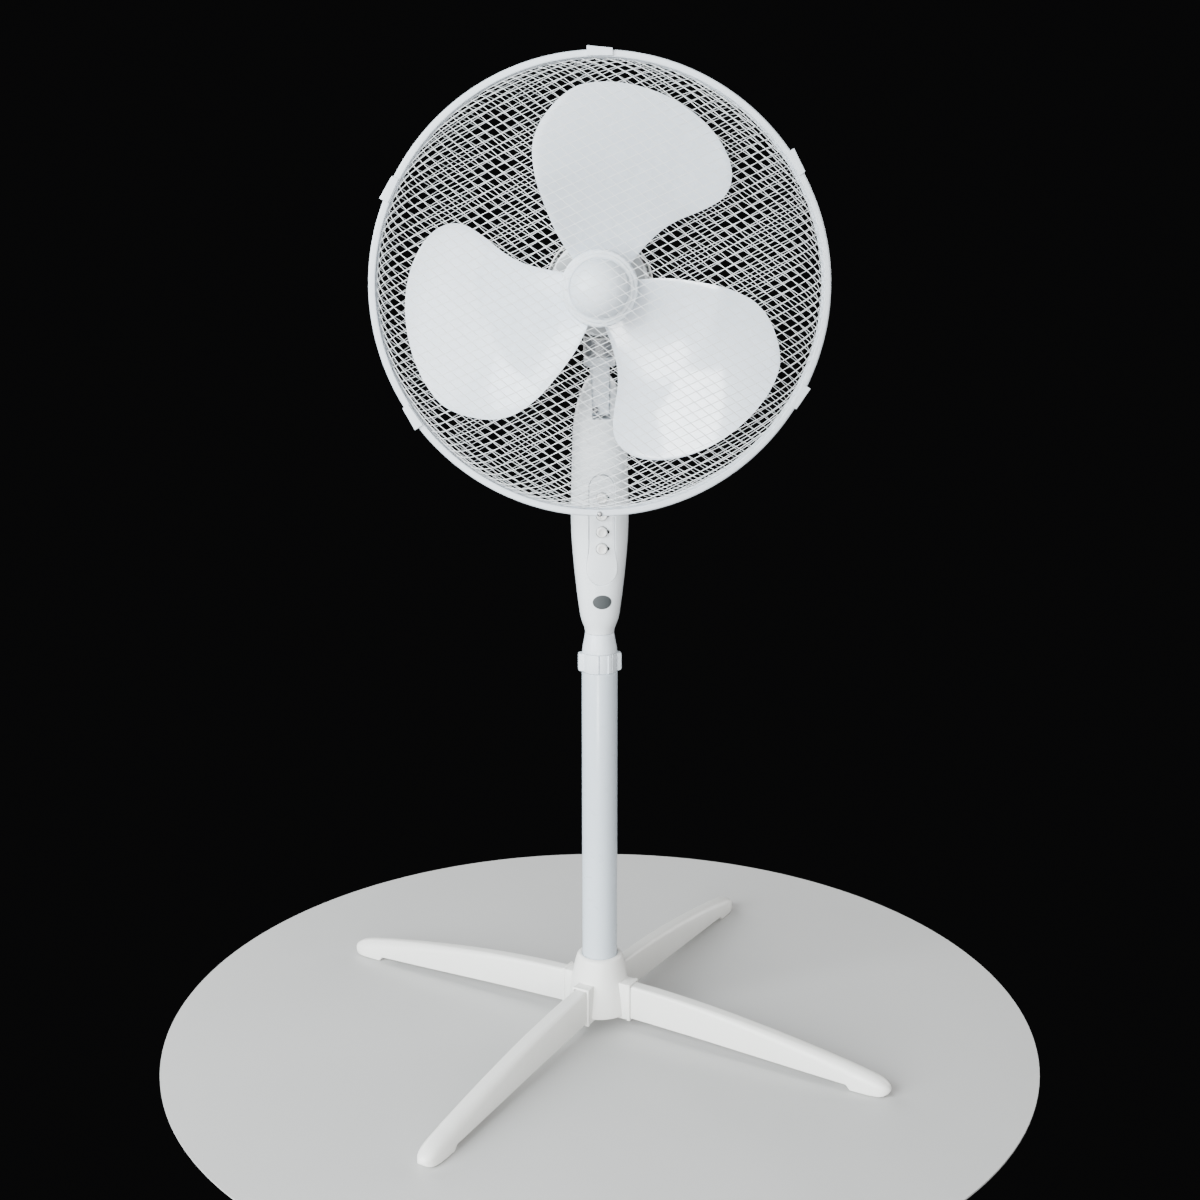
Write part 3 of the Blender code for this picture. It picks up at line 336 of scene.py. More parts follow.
def plate_mesh(outline, low, high, matrix=NO_TURN, holes=(), rounding=0.5):
    """A flat outline in mm, extruded along local Z between two heights, with rounded edges."""
    curve = bpy.data.curves.new("plate", "CURVE")
    curve.dimensions, curve.fill_mode = "2D", "BOTH"
    curve.extrude = (high - low) / 2
    for loop in (outline, *holes):
        spline = curve.splines.new("POLY")
        spline.points.add(len(loop) - 1)
        for point, place in zip(spline.points, loop):
            point.co = (place[0], place[1], 0, 1)
        spline.use_cyclic_u = True
    drawn = bpy.data.objects.new("plate", curve)
    bpy.context.scene.collection.objects.link(drawn)
    flat = evaluated_mesh(drawn)
    bpy.data.objects.remove(drawn)
    bm = bmesh.new()
    bm.from_mesh(flat)
    bmesh.ops.remove_doubles(bm, verts=bm.verts, dist=0.0005)
    bmesh.ops.dissolve_limit(bm, angle_limit=0.01, verts=bm.verts, edges=bm.edges)
    if rounding:
        rims = [e for e in bm.edges if len(e.link_faces) == 2 and e.calc_face_angle(0) > math.radians(50)
                and abs(e.verts[0].co.z - e.verts[1].co.z) < 1e-4]
        bmesh.ops.bevel(
            bm, geom=rims, offset=rounding, segments=2, profile=0.6, affect="EDGES", clamp_overlap=True
        )
    bmesh.ops.translate(bm, vec=(0, 0, (low + high) / 2), verts=bm.verts)
    bmesh.ops.scale(bm, vec=(MM, MM, MM), verts=bm.verts)
    return finish_mesh(bm, matrix, 40)


def evaluated_mesh(obj):
    graph = bpy.context.evaluated_depsgraph_get()
    return bpy.data.meshes.new_from_object(obj.evaluated_get(graph))


def minus(mesh):
    return "DIFFERENCE", mesh


def plus(mesh):
    return "UNION", mesh


def combined(base, *steps, sharp=40):
    """The base mesh after Boolean steps, each made by minus() or plus()."""
    target = bpy.data.objects.new("base", base)
    scratch = [target]
    for operation, mesh in steps:
        other = bpy.data.objects.new("tool", mesh)
        scratch.append(other)
        change = target.modifiers.new("step", "BOOLEAN")
        change.operation, change.object, change.solver = operation, other, "EXACT"
    for obj in scratch:
        bpy.context.scene.collection.objects.link(obj)
    mesh = evaluated_mesh(target)
    for obj in scratch:
        bpy.data.objects.remove(obj)
    mesh.shade_smooth()
    mesh.set_sharp_from_angle(angle=math.radians(sharp))
    return mesh


def arc(centre, radius, start, end, count, squash=1.0):
    made = []
    for i in range(count):
        a = math.radians(start + (end - start) * i / (count - 1))
        made.append((centre[0] + radius * math.cos(a), centre[1] + radius * squash * math.sin(a)))
    return made


def circle(centre, radius, count=32):
    return arc(centre, radius, 0, 360, count + 1)[:-1]


def box_mesh(low, high, matrix=NO_TURN, rounding=0.0):
    bm = bmesh.new()
    bmesh.ops.create_cube(bm, size=1)
    low, high = Vector(low), Vector(high)
    bmesh.ops.scale(bm, vec=high - low, verts=bm.verts)
    bmesh.ops.translate(bm, vec=(low + high) / 2, verts=bm.verts)
    if rounding:
        bmesh.ops.bevel(bm, geom=bm.edges[:], offset=rounding, segments=3, profile=0.5, affect="EDGES")
    bmesh.ops.scale(bm, vec=(MM, MM, MM), verts=bm.verts)
    return finish_mesh(bm, matrix, 40)


def rod_mesh(radius, start, length, axis, matrix=NO_TURN):
    """A cylinder from a point in mm along an axis."""
    turn = Vector((0, 0, 1)).rotation_difference(Vector(axis)).to_matrix().to_4x4()
    place = matrix @ Matrix.Translation(Vector(start) * MM) @ turn
    return turned_mesh([(0, length), (radius, length), (radius, 0), (0, 0)], place, 40, 0)


# ---- foot ----------------------------------------------------------------------------------------

# Reach, half width, underside, top
LEG_STATIONS = [
    (30.5, 7.4, 17.7, 53.2), (42.0, 7.4, 17.7, 53.2), (80.0, 7.9, 17.0, 52.0), (130.0, 8.5, 15.8, 48.9),
    (180.0, 9.2, 14.2, 43.9), (230.0, 9.9, 12.6, 37.6), (270.0, 10.5, 11.5, 31.6), (279.5, 10.6, 11.3, 30.0),
]
LEG_END = [
    (283.5, 10.7, 6.7, 29.1), (297.0, 10.7, 6.65, 26.6), (308.0, 10.0, 6.8, 23.9), (315.2, 8.3, 7.5, 20.9),
    (319.6, 5.3, 9.6, 17.7), (321.5, 2.4, 12.0, 14.8),
]
LEG_CHANNEL = [(69.0, 5.4, 48.5), (150.0, 6.5, 42.0), (225.0, 7.6, 34.0), (267.5, 8.2, 28.0)]


def leg_section(reach, half_width, under, top):
    """A section that is squarer at the hub and rounder towards the foot, always with as many points."""
    share = min(1, max(0, (reach - 60) / 215))
    across = half_width * (0.42 + 0.5 * share)
    down = min((top - under) * 0.48, 3.0 + 7.0 * share)
    heel = min(1.5, half_width * 0.35, (top - under) * 0.2)
    right = [(half_width - heel, under), (half_width - 0.3 * heel, under + 0.3 * heel)]
    right.append((half_width, under + heel))
    for i in range(11):
        a = math.radians(9 * i)
        right.append((half_width - across + across * math.cos(a), top - down + down * math.sin(a)))
    left = [(-x, z) for x, z in reversed(right)]
    return [(reach, x, z) for x, z in right + left]


def pad_outline(radius):
    return arc((302.5, 0), radius, -90, 90, 13) + arc((293.5, 0), radius, 90, 270, 13)


def make_legs():
    stations = smooth_curve(LEG_STATIONS, 5) + smooth_curve(LEG_END, 5)
    rings = [leg_section(*row) for row in stations]
    for index, turn in enumerate(LEG_TURNS):
        matrix = STAND @ Matrix.Rotation(turn, 4, "Z")
        channel = []
        for reach, half, top in LEG_CHANNEL:
            channel.append([(reach, half, -1), (reach, half, top), (reach, -half, top), (reach, -half, -1)])
        pocket = plate_mesh(pad_outline(7.3), 4, 8.7, matrix, rounding=0)
        leg = combined(loft_mesh(rings, matrix), minus(loft_mesh(channel, matrix)), minus(pocket))
        piece(f"leg_shell_{index + 1}", leg, WARM, "base", [f"leg_{index + 1}"])
        pad = plate_mesh(pad_outline(6.95), 6.0, 8.4, matrix, rounding=0.5)
        name = f"foot_pad_{index + 1}"
        piece(f"foot_pad_soft_{index + 1}", pad, PAD, "base", [name])


def make_hub():
    bore = 18.55
    core = turned_mesh(
        [
            (0, POLE_FOOT - 0.3), (bore, POLE_FOOT - 0.3, 0.1), (bore, 79.0, 0.3), (bore + 0.9, 79.5, 0.3),
            (21.0, 79.5, 1.2), (23.6, 78.0, 2.0), (24.6, 75.0, 3.0), (26.6, 67.0, 6.0), (28.9, 56.0, 6.0),
            (31.4, 38.0, 6.0), (33.1, 23.0, 2.0), (33.4, 19.5, 0.8), (27.0, 19.5), (26.0, 28.0), (0, 28.0),
        ],
        STAND, sides=128, soft=0.5,
    )
    steps = []
    half, under, top = LEG_STATIONS[0][1:]
    for turn in LEG_TURNS:
        matrix = STAND @ Matrix.Rotation(turn, 4, "Z")
        for inner, outer, proud in ((24, 36.8, 1.7), (37.3, 40.9, 2.3)):
            low, high = (inner, -half - proud, under - proud), (outer, half + proud, top + proud)
            steps.append(plus(box_mesh(low, high, matrix, 1.0)))
        steps.append(plus(box_mesh((30, -half - 1.2, under - 1.2), (40, half + 1.2, top + 1.2), matrix)))
    for turn in LEG_TURNS:
        matrix = STAND @ Matrix.Rotation(turn, 4, "Z")
        low, high = (30.2, -half - 0.3, under - 0.3), (47, half + 0.3, top + 0.3)
        steps.append(minus(box_mesh(low, high, matrix, 0.8)))
        steps.append(minus(rod_mesh(2.0, (35.8, 0, 13), 6, (0, 0, 1), matrix)))
    piece("hub_shell", combined(core, *steps), WARM, "base", ["base_hub"])


# ---- pole and height lock ------------------------------------------------------------------------


def make_pole():
    tube = turned_mesh(
        [(18.25, POLE_TOP), (18.25, POLE_FOOT), (17.05, POLE_FOOT), (17.05, POLE_TOP)], STAND,
        sides=128, soft=0.2, ring=True,
    )
    piece("pole_tube", tube, POLE_WHITE, "base", ["outer_pole"])
    bush = turned_mesh(
        [
            (14.2, 425.4), (14.75, 424.9, 0.4), (15.7, 419.6, 3), (17.3, 411.0, 2), (17.7, 407.0, 1),
            (17.75, 405.3, 0.2), (15.4, 405.3), (15.4, 385.5), (16.75, 385.2), (16.75, 347.0), (13.4, 345.1),
            (12.85, 347.0), (12.85, 425.4),
        ],
        STAND, sides=128, ring=True, soft=0.3,
    )
    piece("pole_bush_shell", bush, COOL, "base", ["pole_bush"])
    tube = turned_mesh([(12.5, 469.9), (12.5, 110.1), (11.5, 110.1), (11.5, 469.9)], STAND, 72, 0.2, True)
    piece("slide_tube", tube, STEEL, "mast", ["inner_tube"])


# Reach, half width, underside, top
COLLAR_LUG = [
    (16.4, 5.9, 385.8, 404.7), (20.6, 4.9, 386.2, 404.3), (21.6, 4.4, 386.8, 403.7),
    (22.0, 3.6, 388.2, 402.3),
]


def collar_radius(degrees):
    """A recessed land beside the split, a ridge next to it, and three flats that stand a little proud."""
    radius = 17.75
    if -97 < degrees - 360 < -67:
        radius = 17.1
    elif -67 <= degrees - 360 < -55:
        radius = 18.05
    for middle, half_span in ((-38, 13), (120, 18), (60, 18)):
        off = (degrees - middle + 180) % 360 - 180
        if abs(off) < half_span:
            radius = 18.15 * math.cos(math.radians(half_span)) / math.cos(math.radians(off))
    return radius


def make_collar():
    """A split ring with a grip lug at each side."""
    outline = []
    for i in range(240):
        degrees = 1.5 * i
        radius, a = collar_radius(degrees), math.radians(degrees)
        outline.append((radius * math.cos(a), radius * math.sin(a)))
    body = plate_mesh(outline, 385.6, 404.9, MAST, [circle((0, 0), 15.8, 96)], rounding=0.5)
    steps = []
    for side in (-1, 1):
        rings = []
        for reach, half, low, high in COLLAR_LUG:
            corners = softened([(-half, low), (half, low), (half, high), (-half, high)], 1.4, closed=True)
            rings.append([(side * reach, p.x, p.y) for p in corners])
        steps.append(plus(loft_mesh(rings, MAST)))
    steps.append(minus(box_mesh((-2.95, -19, 380), (-2.2, -15.9, 410), MAST)))
    collar = combined(body, *steps, sharp=25)
    piece("collar_grip", collar, COOL, "collar", ["height_lock_collar"])


# ---- column --------------------------------------------------------------------------------------

# Height, half width, half depth
COLUMN_STATIONS = [
    (425.8, 14.7, 14.7), (430.5, 15.4, 15.4), (436.0, 17.4, 16.8), (442.2, 19.3, 18.0), (454.7, 21.2, 19.4),
    (467.2, 22.8, 20.5), (479.6, 24.2, 21.4), (492.0, 25.5, 22.1), (510.5, 27.2, 22.6), (529.0, 28.4, 22.8),
    (545.0, 28.8, 22.8), (562.0, 28.6, 22.8), (590.0, 28.0, 22.6), (613.0, 27.3, 22.0), (634.4, 26.5, 20.8),
    (655.0, 23.6, 19.0), (664.4, 21.3, 17.8), (674.6, 17.4, 16.0), (682.0, 13.8, 14.4), (686.5, 10.5, 12.4),
    (688.7, 7.3, 9.8),
]
COLUMN_WALL = 2.1
SECTION_STEPS = 32
SEAM_GAP = 0.16  # from the middle plane to a shell's edge
GROOVE_HALF, GROOVE_DEPTH = 0.7, 0.45  # of the groove along the seam


def column_section(height, half_width, half_depth, sign, inset=0.0):
    """Half of a cross section: an ellipse low on the column, and a little squarer where it is wide."""
    power = min(1.0, 2 / (2.0 + min(0.5, (half_width - 14.9) * 0.05)))
    made = []
    for i in range(SECTION_STEPS + 1):
        a = math.pi * i / SECTION_STEPS
        c, s = math.cos(a), math.sin(a)
        x = math.copysign(abs(c) ** power, c) * (half_width - inset)
        y = (abs(s) ** power) * (half_depth - inset)
        made.append((x, sign * y, height))
    return made


def make_column():
    rows = smooth_curve(COLUMN_STATIONS, 4)
    cut = [row for row in rows if row[0] < 640]
    cavity = []
    for row in cut:
        front = column_section(*row, -1, COLUMN_WALL)
        cavity.append(front + column_section(*row, 1, COLUMN_WALL)[::-1][1:-1])
    cavity.insert(0, [(x, y, z - 5) for x, y, z in cavity[0]])
    across = MAST @ Matrix(((0, 0, 1, 0), (1, 0, 0, 0), (0, 1, 0, 0), (0, 0, 0, 1)))
    slot = [(-40, 645), (12.4, 645), (12.4, 664), (40, 664), (40, 720), (-40, 720)]
    tilt = TILT_HEIGHT / MM
    for end, sign in (("front", -1), ("rear", 1)):
        rings = []
        for row in rows:
            section = column_section(*row, sign)
            flat = [(x, sign * max(abs(y), GROOVE_HALF), z) for x, y, z in section]
            lip, edge = flat[0][0] - GROOVE_DEPTH, sign * SEAM_GAP
            rings.append([(lip, edge, row[0]), *flat, (-lip, edge, row[0])])
        steps = [minus(loft_mesh(cavity, MAST))]
        steps.append(minus(plate_mesh(slot, -9.6, 9.6, across, rounding=0)))
        steps.append(minus(rod_mesh(3.3, (-40, 0, tilt), 80, (1, 0, 0), MAST)))
        steps.append(minus(rod_mesh(5.4, (-40, 0, tilt), 22.5, (1, 0, 0), MAST)))
        if sign < 0:
            facing = MAST @ Matrix.Translation((0, -10 * MM, PANEL_HEIGHT * MM)) @ FACE_FRONT
            steps.append(minus(plate_mesh(panel_outline(0.15), 0, 30, facing, rounding=0)))
            mouth = []
            for grow, level in ((0.1, 9.8), (2.55, 13.4)):
                mouth.append([(x, y, level) for x, y in panel_outline(grow)])
            steps.append(minus(loft_mesh(mouth, facing)))
        else:
            steps.append(minus(rod_mesh(6.2, (0, 10, 462), 20, (0, 1, 0), MAST)))
            for k in range(5):
                vent = box_mesh((-9, 14, 598 + 6 * k), (9, 30, 600.4 + 6 * k), MAST, 0.8)
                steps.append(minus(vent))
        shell = combined(loft_mesh(rings, MAST), *steps, sharp=35)
        piece(f"column_shell_{end}", shell, COLUMN_WHITE, "mast", [f"column_{end}"])


def panel_outline(grow=0.0):
    """Narrow along the buttons, and wide and round below them."""
    flank = [(12.4, 5.0), (12.7, 0.5), (13.2, -4.0), (14.0, -8.5), (14.9, -13.0)]
    points = arc((0, 61.5), 12.4 + grow, 0, 180, 25)
    points += [(-x - grow, y) for x, y in flank]
    points += arc((0, -19.5), 15.5 + grow, 180, 360, 29, 17.6 / 15.5)
    points += [(x + grow, y) for x, y in reversed(flank)]
    return points


def button_hole(height):
    """A round hole with a notch at its right."""
    hole = []
    for i in range(60):
        degrees = 6 * i
        off = abs((degrees + 180) % 360 - 180)
        radius, a = 6.05 + 1.9 * math.exp(-((off / 16) ** 4)), math.radians(degrees)
        hole.append((radius * math.cos(a), height + radius * math.sin(a)))
    return hole


def make_controls():
    facing = MAST @ Matrix.Translation((0, -21.4 * MM, PANEL_HEIGHT * MM)) @ FACE_FRONT
    heights = [17 * i for i in range(4)]
    holes = [button_hole(height) for height in heights]
    panel = plate_mesh(panel_outline(), -2.9, -0.6, facing, holes, rounding=0.4)
    piece("button_panel_plate", panel, COLUMN_WHITE, "mast", ["button_panel"])
    for index, height in enumerate(heights):
        number = 3 - index
        place = facing @ Matrix.Translation((0, height * MM, 0))
        button = turned_mesh(
            [
                (0, 2.7), (2.6, 2.8, 1.0), (4.0, 3.45, 0.8), (4.9, 3.1, 0.8), (5.4, 1.4, 0.5),
                (5.6, -0.4, 0.3), (5.6, -9.6, 0.3), (0, -9.6),
            ],
            place, 64, 0.4,
        )
        body, node = f"button_{number}", f"speed_button_{number}"
        piece(f"button_cap_{number}", button, KNOB_WHITE, body, [node])
    make_badge()


def make_badge():
    """A plain oval plate that follows the column's front."""
    graph = bpy.context.evaluated_depsgraph_get()
    shell = bvhtree.BVHTree.FromObject(bpy.data.objects["column_shell_front"], graph)
    inwards = MAST.to_3x3() @ Vector((0, 1, 0))
    rings = []
    for size, lift in ((1.0, -0.35), (1.0, 0.22), (0.985, 0.32), (0.955, 0.36), (0.55, 0.36), (0.2, 0.36)):
        ring = []
        for i in range(64):
            a = TAU * i / 64
            x = BADGE_CENTRE[0] + BADGE_HALF[0] * size * math.cos(a)
            z = BADGE_CENTRE[1] + BADGE_HALF[1] * size * math.sin(a)
            hit = shell.ray_cast(MAST @ (Vector((x, -60, z)) * MM), inwards)[0]
            ring.append(hit / MM - inwards * lift)
        rings.append(ring)
    piece("blank_badge", loft_mesh(rings, sharp=30), BADGE, "mast")


# ---- guard ---------------------------------------------------------------------------------------

FRONT_DISH = [
    (0, 62.0), (60, 61.1), (120, 58.0), (145, 55.0), (166, 50.3), (184.5, 42.0), (193.5, 33.5), (199.3, 24.0),
    (203.2, 14.0), (205.6, 6.0), (206.6, 4.4), (208.6, 4.2), (212.2, 4.2),
]
REAR_DISH = [
    (0, -51.7), (60, -51.7), (120, -50.0), (145, -48.4), (166, -45.0), (184.5, -39.0), (193.5, -31.0),
    (199.3, -22.3), (203.2, -13.2), (205.6, -6.0), (206.6, -4.4), (208.6, -4.2), (212.2, -4.2),
]
# For each dish, its two families of strands: direction in degrees, gap, distance of one strand from the axis
FRONT_STRANDS = [(24.0, 8.2, 4.5), (-41.0, 8.25, 4.9)]
REAR_STRANDS = [(30.0, 8.0, 2.4), (-31.0, 7.8, 6.2)]
STRAND_WIDTH, STRAND_THICK = 0.59, 0.6
STRETCH = 0.45  # how much of the wall's length comes from stretching the flat mesh


class Dish:
    """Places flat mesh coordinates on a turned dish, by the length of its profile."""

    def __init__(self, profile):
        fine = np.array(smooth_curve(profile, 8))
        steps = np.hypot(*np.diff(fine, axis=0).T)
        length = np.concatenate([[0], np.cumsum(steps)])
        self.radius, self.height = fine[:, 0], fine[:, 1]
        self.length = (1 - STRETCH) * length + STRETCH * self.radius
        self.reach = self.length[-1]

    def at(self, flat):
        """Points and normals in the head's frame, in mm, for flat coordinates."""
        s = np.hypot(flat[:, 0], flat[:, 1])
        ahead = np.interp(s + 0.5, self.length, self.radius), np.interp(s + 0.5, self.length, self.height)
        behind = np.interp(s - 0.5, self.length, self.radius), np.interp(s - 0.5, self.length, self.height)
        r, z = np.interp(s, self.length, self.radius), np.interp(s, self.length, self.height)
        unit = flat / np.maximum(s, 1e-9)[:, None]
        dr, dz = ahead[0] - behind[0], ahead[1] - behind[1]
        size = np.maximum(np.hypot(dr, dz), 1e-9)
        normal = np.column_stack([unit * (-dz / size)[:, None], dr / size])
        return np.column_stack([unit * r[:, None], z]), normal


def strands(dish, inner, families):
    """Vertices and faces of all the strands of one dish. Each strand is a closed flat bar with soft edges."""
    vertices, faces = [], []
    outer = dish.reach - 0.4
    for (degrees, gap, start), lift in zip(families, (0.12, -0.12)):
        angle = math.radians(degrees)
        along = np.array([math.cos(angle), math.sin(angle)])
        across = np.array([-along[1], along[0]])
        count = int(outer / gap) + 2
        for k in range(-count, count + 1):
            offset = k * gap + start
            if abs(offset) >= outer - 1:
                continue
            end = math.sqrt(outer**2 - offset**2)
            spans = [(-end, end)]
            if abs(offset) < inner:
                hole = math.sqrt(inner**2 - offset**2)
                spans = [(-end, -hole), (hole, end)]
            for low, high in spans:
                add_strand(dish, low, high, offset, along, across, lift, vertices, faces)
    return vertices, faces


def add_strand(dish, start, stop, offset, along, across, lift, vertices, faces):
    pieces = max(2, int((stop - start) / 6.5))
    t = np.linspace(start, stop, pieces + 1)
    place, normal = dish.at(t[:, None] * along + offset * across)
    forward = np.gradient(place, axis=0)
    forward /= np.linalg.norm(forward, axis=1)[:, None]
    side = np.cross(normal, forward)
    side /= np.maximum(np.linalg.norm(side, axis=1), 1e-9)[:, None]
    up = np.cross(forward, side)
    half, thick = STRAND_WIDTH / 2, STRAND_THICK / 2
    flat = half * 0.55
    corners = [(half, 0), (flat, thick), (-flat, thick), (-half, 0), (-flat, -thick), (flat, -thick)]
    base = len(vertices)
    for p, s, u in zip(place, side, up):
        for a, b in corners:
            vertices.append((p + s * a + u * (b + lift)) * MM)
    for i in range(pieces):
        row = base + 6 * i
        for j in range(6):
            k = (j + 1) % 6
            faces.append((row + j, row + k, row + 6 + k, row + 6 + j))
    faces.append(tuple(base + j for j in reversed(range(6))))
    faces.append(tuple(base + 6 * pieces + j for j in range(6)))


def mesh_dish(name, node, profile, inner, families):
    dish = Dish(profile)
    vertices, faces = strands(dish, inner, families)
    mesh = bpy.data.meshes.new(name)
    mesh.from_pydata([HEAD @ Vector(v) for v in vertices], [], faces)
    mesh.shade_smooth()
    mesh.set_sharp_from_angle(angle=math.radians(65))
    return piece(name, mesh, MESH_WHITE, "head", [node])


def make_guard():
    mesh_dish("front_mesh", "front_grille", FRONT_DISH, 0, FRONT_STRANDS)
    mesh_dish("rear_mesh", "rear_grille", REAR_DISH, 44.0, REAR_STRANDS)
    centre = turned_mesh(
        [(29.6, -50.95), (46.5, -50.95), (47.2, -51.3), (47.2, -52.1), (46.5, -52.45), (29.6, -52.45)],
        HEAD, 96, 0.3, True,
    )
    piece("rear_mesh_centre", centre, MESH_WHITE, "head")
    half = [
        (211.7, 0.35), (211.7, 6.6, 0.5), (210.6, 8.3, 0.8), (206.95, 8.5, 0.3), (206.95, 9.9, 0.6),
        (207.9, 10.4, 0.6), (212.2, 10.45, 1.0), (213.4, 9.3, 1.0), (213.45, 0.35, 0.25),
    ]
    for end, side in (("front", 1), ("rear", -1)):
        profile = [(p[0], side * p[1], *p[2:]) for p in half]
        rim = turned_mesh(profile, HEAD, 288, 0.3, True)
        piece(f"{end}_rim", rim, RING_WHITE, "head", [f"{end}_ring"])
    seat = HEAD @ Matrix.Translation((0, -211 * MM, 0))
    screw = turned_mesh(
        [
            (0, 12.3), (1.5, 12.15, 0.6), (2.5, 11.3, 0.4), (2.55, 10.5, 0.1), (1.4, 10.5), (1.4, 10.0),
            (0, 10.0),
        ],
        seat, 40, 0.2,
    )
    screw = combined(screw, *cross_slot(0.3, 1.5, 11.5, 13, seat))
    piece("rim_screw_head", screw, SCREW_STEEL, "head", ["rim_screw"])
    outline = []
    for i in range(144):
        a = TAU * i / 144
        radius = 44.9 + 1.05 * max(-1, min(1, 1.8 * math.cos(12 * a)))
        outline.append((radius * math.cos(a), radius * math.sin(a)))
    nut = plate_mesh(outline, -50.5, -45.5, HEAD, [circle((0, 0), 29.2, 96)], rounding=0.6)
    # The nut's darker grey is painted shade, standing in for the shadow behind the blades.
    piece("rear_mesh_nut", nut, NUT_PAINTED_SHADE, "head", ["rear_grille_nut"])


def cross_slot(half_width, reach, low, high, matrix):
    """The two cuts of a cross in a screw's head."""
    return [
        minus(box_mesh((-half_width, -reach, low), (half_width, reach, high), matrix)),
        minus(box_mesh((-reach, -half_width, low), (reach, half_width, high), matrix)),
    ]


# How far a clip stands off the rim, along its length
CLIP_WEDGE = [
    (-11.6, 0.35), (-10.9, 0.65), (-6.0, 1.1), (0.0, 1.6), (8.0, 2.4), (10.9, 2.75), (11.4, 2.7), (11.6, 2.5),
]


def clip_outline(proud):
    inside, outside = 213.9, 213.9 + proud
    return [
        (207.6, 11.0, 0.3), (inside, 10.95, 0.2), (inside, -11.3, 0.2), (209.6, -11.3, 0.2),
        (209.2, -11.9, 0.3), (210.2, -12.75, 0.4), (outside - 0.1, -12.75, 0.6), (outside, -9.0, 1.0),
        (outside, 9.0, 1.0), (outside - 0.1, 12.55, 0.7), (207.6, 12.55, 0.5),
    ]


def make_clips():
    """Each clip is a wedge: flush at one end, and a thumb's edge at the other."""
    for index, angle in enumerate(CLIP_ANGLES):
        rings = []
        for along, proud in CLIP_WEDGE:
            rings.append([(p.x, along, p.y) for p in softened(clip_outline(proud), 0.3, closed=True)])
        clip = loft_mesh(rings, HEAD @ Matrix.Rotation(angle, 4, "Z"), 35)
        name, body, node = (f"{word}_{index + 1}" for word in ("rim_clip_shell", "clip", "rim_clip"))
        piece(name, clip, RING_WHITE, body, [node])


# ---- blades --------------------------------------------------------------------------------------

# Radius, angle of the rear edge, angle of the front edge
BLADE_EDGES = [
    (34, 36.8, 132.6), (50, 41.1, 130.4), (66, 42.4, 127.9), (80, 42.2, 125.4), (96, 40.2, 123),
    (112, 37.5, 120.9), (128, 35.8, 118.2), (142, 35.6, 115.4), (156, 38.2, 111), (168, 44, 105.6),
    (178, 54.6, 100.2), (184, 67.5, 95.2), (186.3, 80, 88),
]


def blade_point(radius, degrees, lift, index):
    pitch = 0.17 + 0.36 * min(1, (radius - 34) / 76)
    swing = degrees - 76
    height = -4 + pitch * swing - 3.2 * (1 - (swing / 52) ** 2) + lift
    a = math.radians(degrees) + index * TAU / 3
    return Vector((radius * math.cos(a), radius * math.sin(a), height))


def blade_mesh(index):
    across = 36
    rings = []
    for radius, rear, front in smooth_curve(BLADE_EDGES, 5):
        upper, lower = [], []
        for i in range(across + 1):
            share = i / across
            degrees = rear + (front - rear) * share
            edge = min(share, 1 - share) * (front - rear) * radius * math.pi / 180
            half = 0.95 * math.sqrt(min(1.0, 0.18 + edge / 2.2))
            upper.append(blade_point(radius, degrees, half, index))
            lower.append(blade_point(radius, degrees, -half, index))
        rings.append(upper + lower[::-1])
    return loft_mesh(rings, HEAD, 60)


def make_blades():
    hub = turned_mesh(
        [
            (4.3, 12.0), (35.0, 12.0, 0.8), (36.0, 11.2, 0.6), (36.0, -20.0, 0.4), (32.5, -20.0), (32.5, 8.8),
            (10.5, 8.8), (10.5, -18.0), (4.3, -18.0),
        ],
        HEAD, 96, 0.5, True,
    )
    blades = combined(hub, *(plus(blade_mesh(i)) for i in range(3)), sharp=45)
    piece("blades", blades, BLADE_WHITE, "rotor", ["blade_set"])

    def knurl(radius, height, angle):
        return 0.45 * math.cos(36 * angle) - 0.45 if radius > 34.4 and 12.5 < height < 18.2 else 0

    spinner = turned_mesh(
        [
            (0, 39.9), (9.0, 39.1, 3), (17.0, 36.3, 3), (23.4, 31.5, 3), (26.6, 25.4, 3), (27.3, 20.6, 0.4),
            (27.3, 18.2, 0.1), (28.2, 18.2, 0.1), (28.3, 19.3, 0.3), (31.2, 19.1, 0.3), (31.9, 18.3, 0.2),
            (34.4, 17.9, 0.6), (35.55, 17.4, 0.5), (35.55, 12.9, 0.4), (34.9, 12.35), (33.4, 12.35),
            (33.4, 16.4), (25.4, 16.4), (24.6, 24.4, 2), (18.6, 32.0, 2), (9.0, 36.4), (9.0, 12.35),
            (4.3, 12.35), (4.3, 30.6), (0, 30.6),
        ],
        HEAD, 288, 0.4, ripple=knurl, sharp=35,
    )
    piece("spinner_cap", spinner, COOL, "rotor", ["spinner"])


# ---- motor and tilt ------------------------------------------------------------------------------


WHEEL_AXIS = (14.3, -133)  # the worm wheel's axis, across and along the head


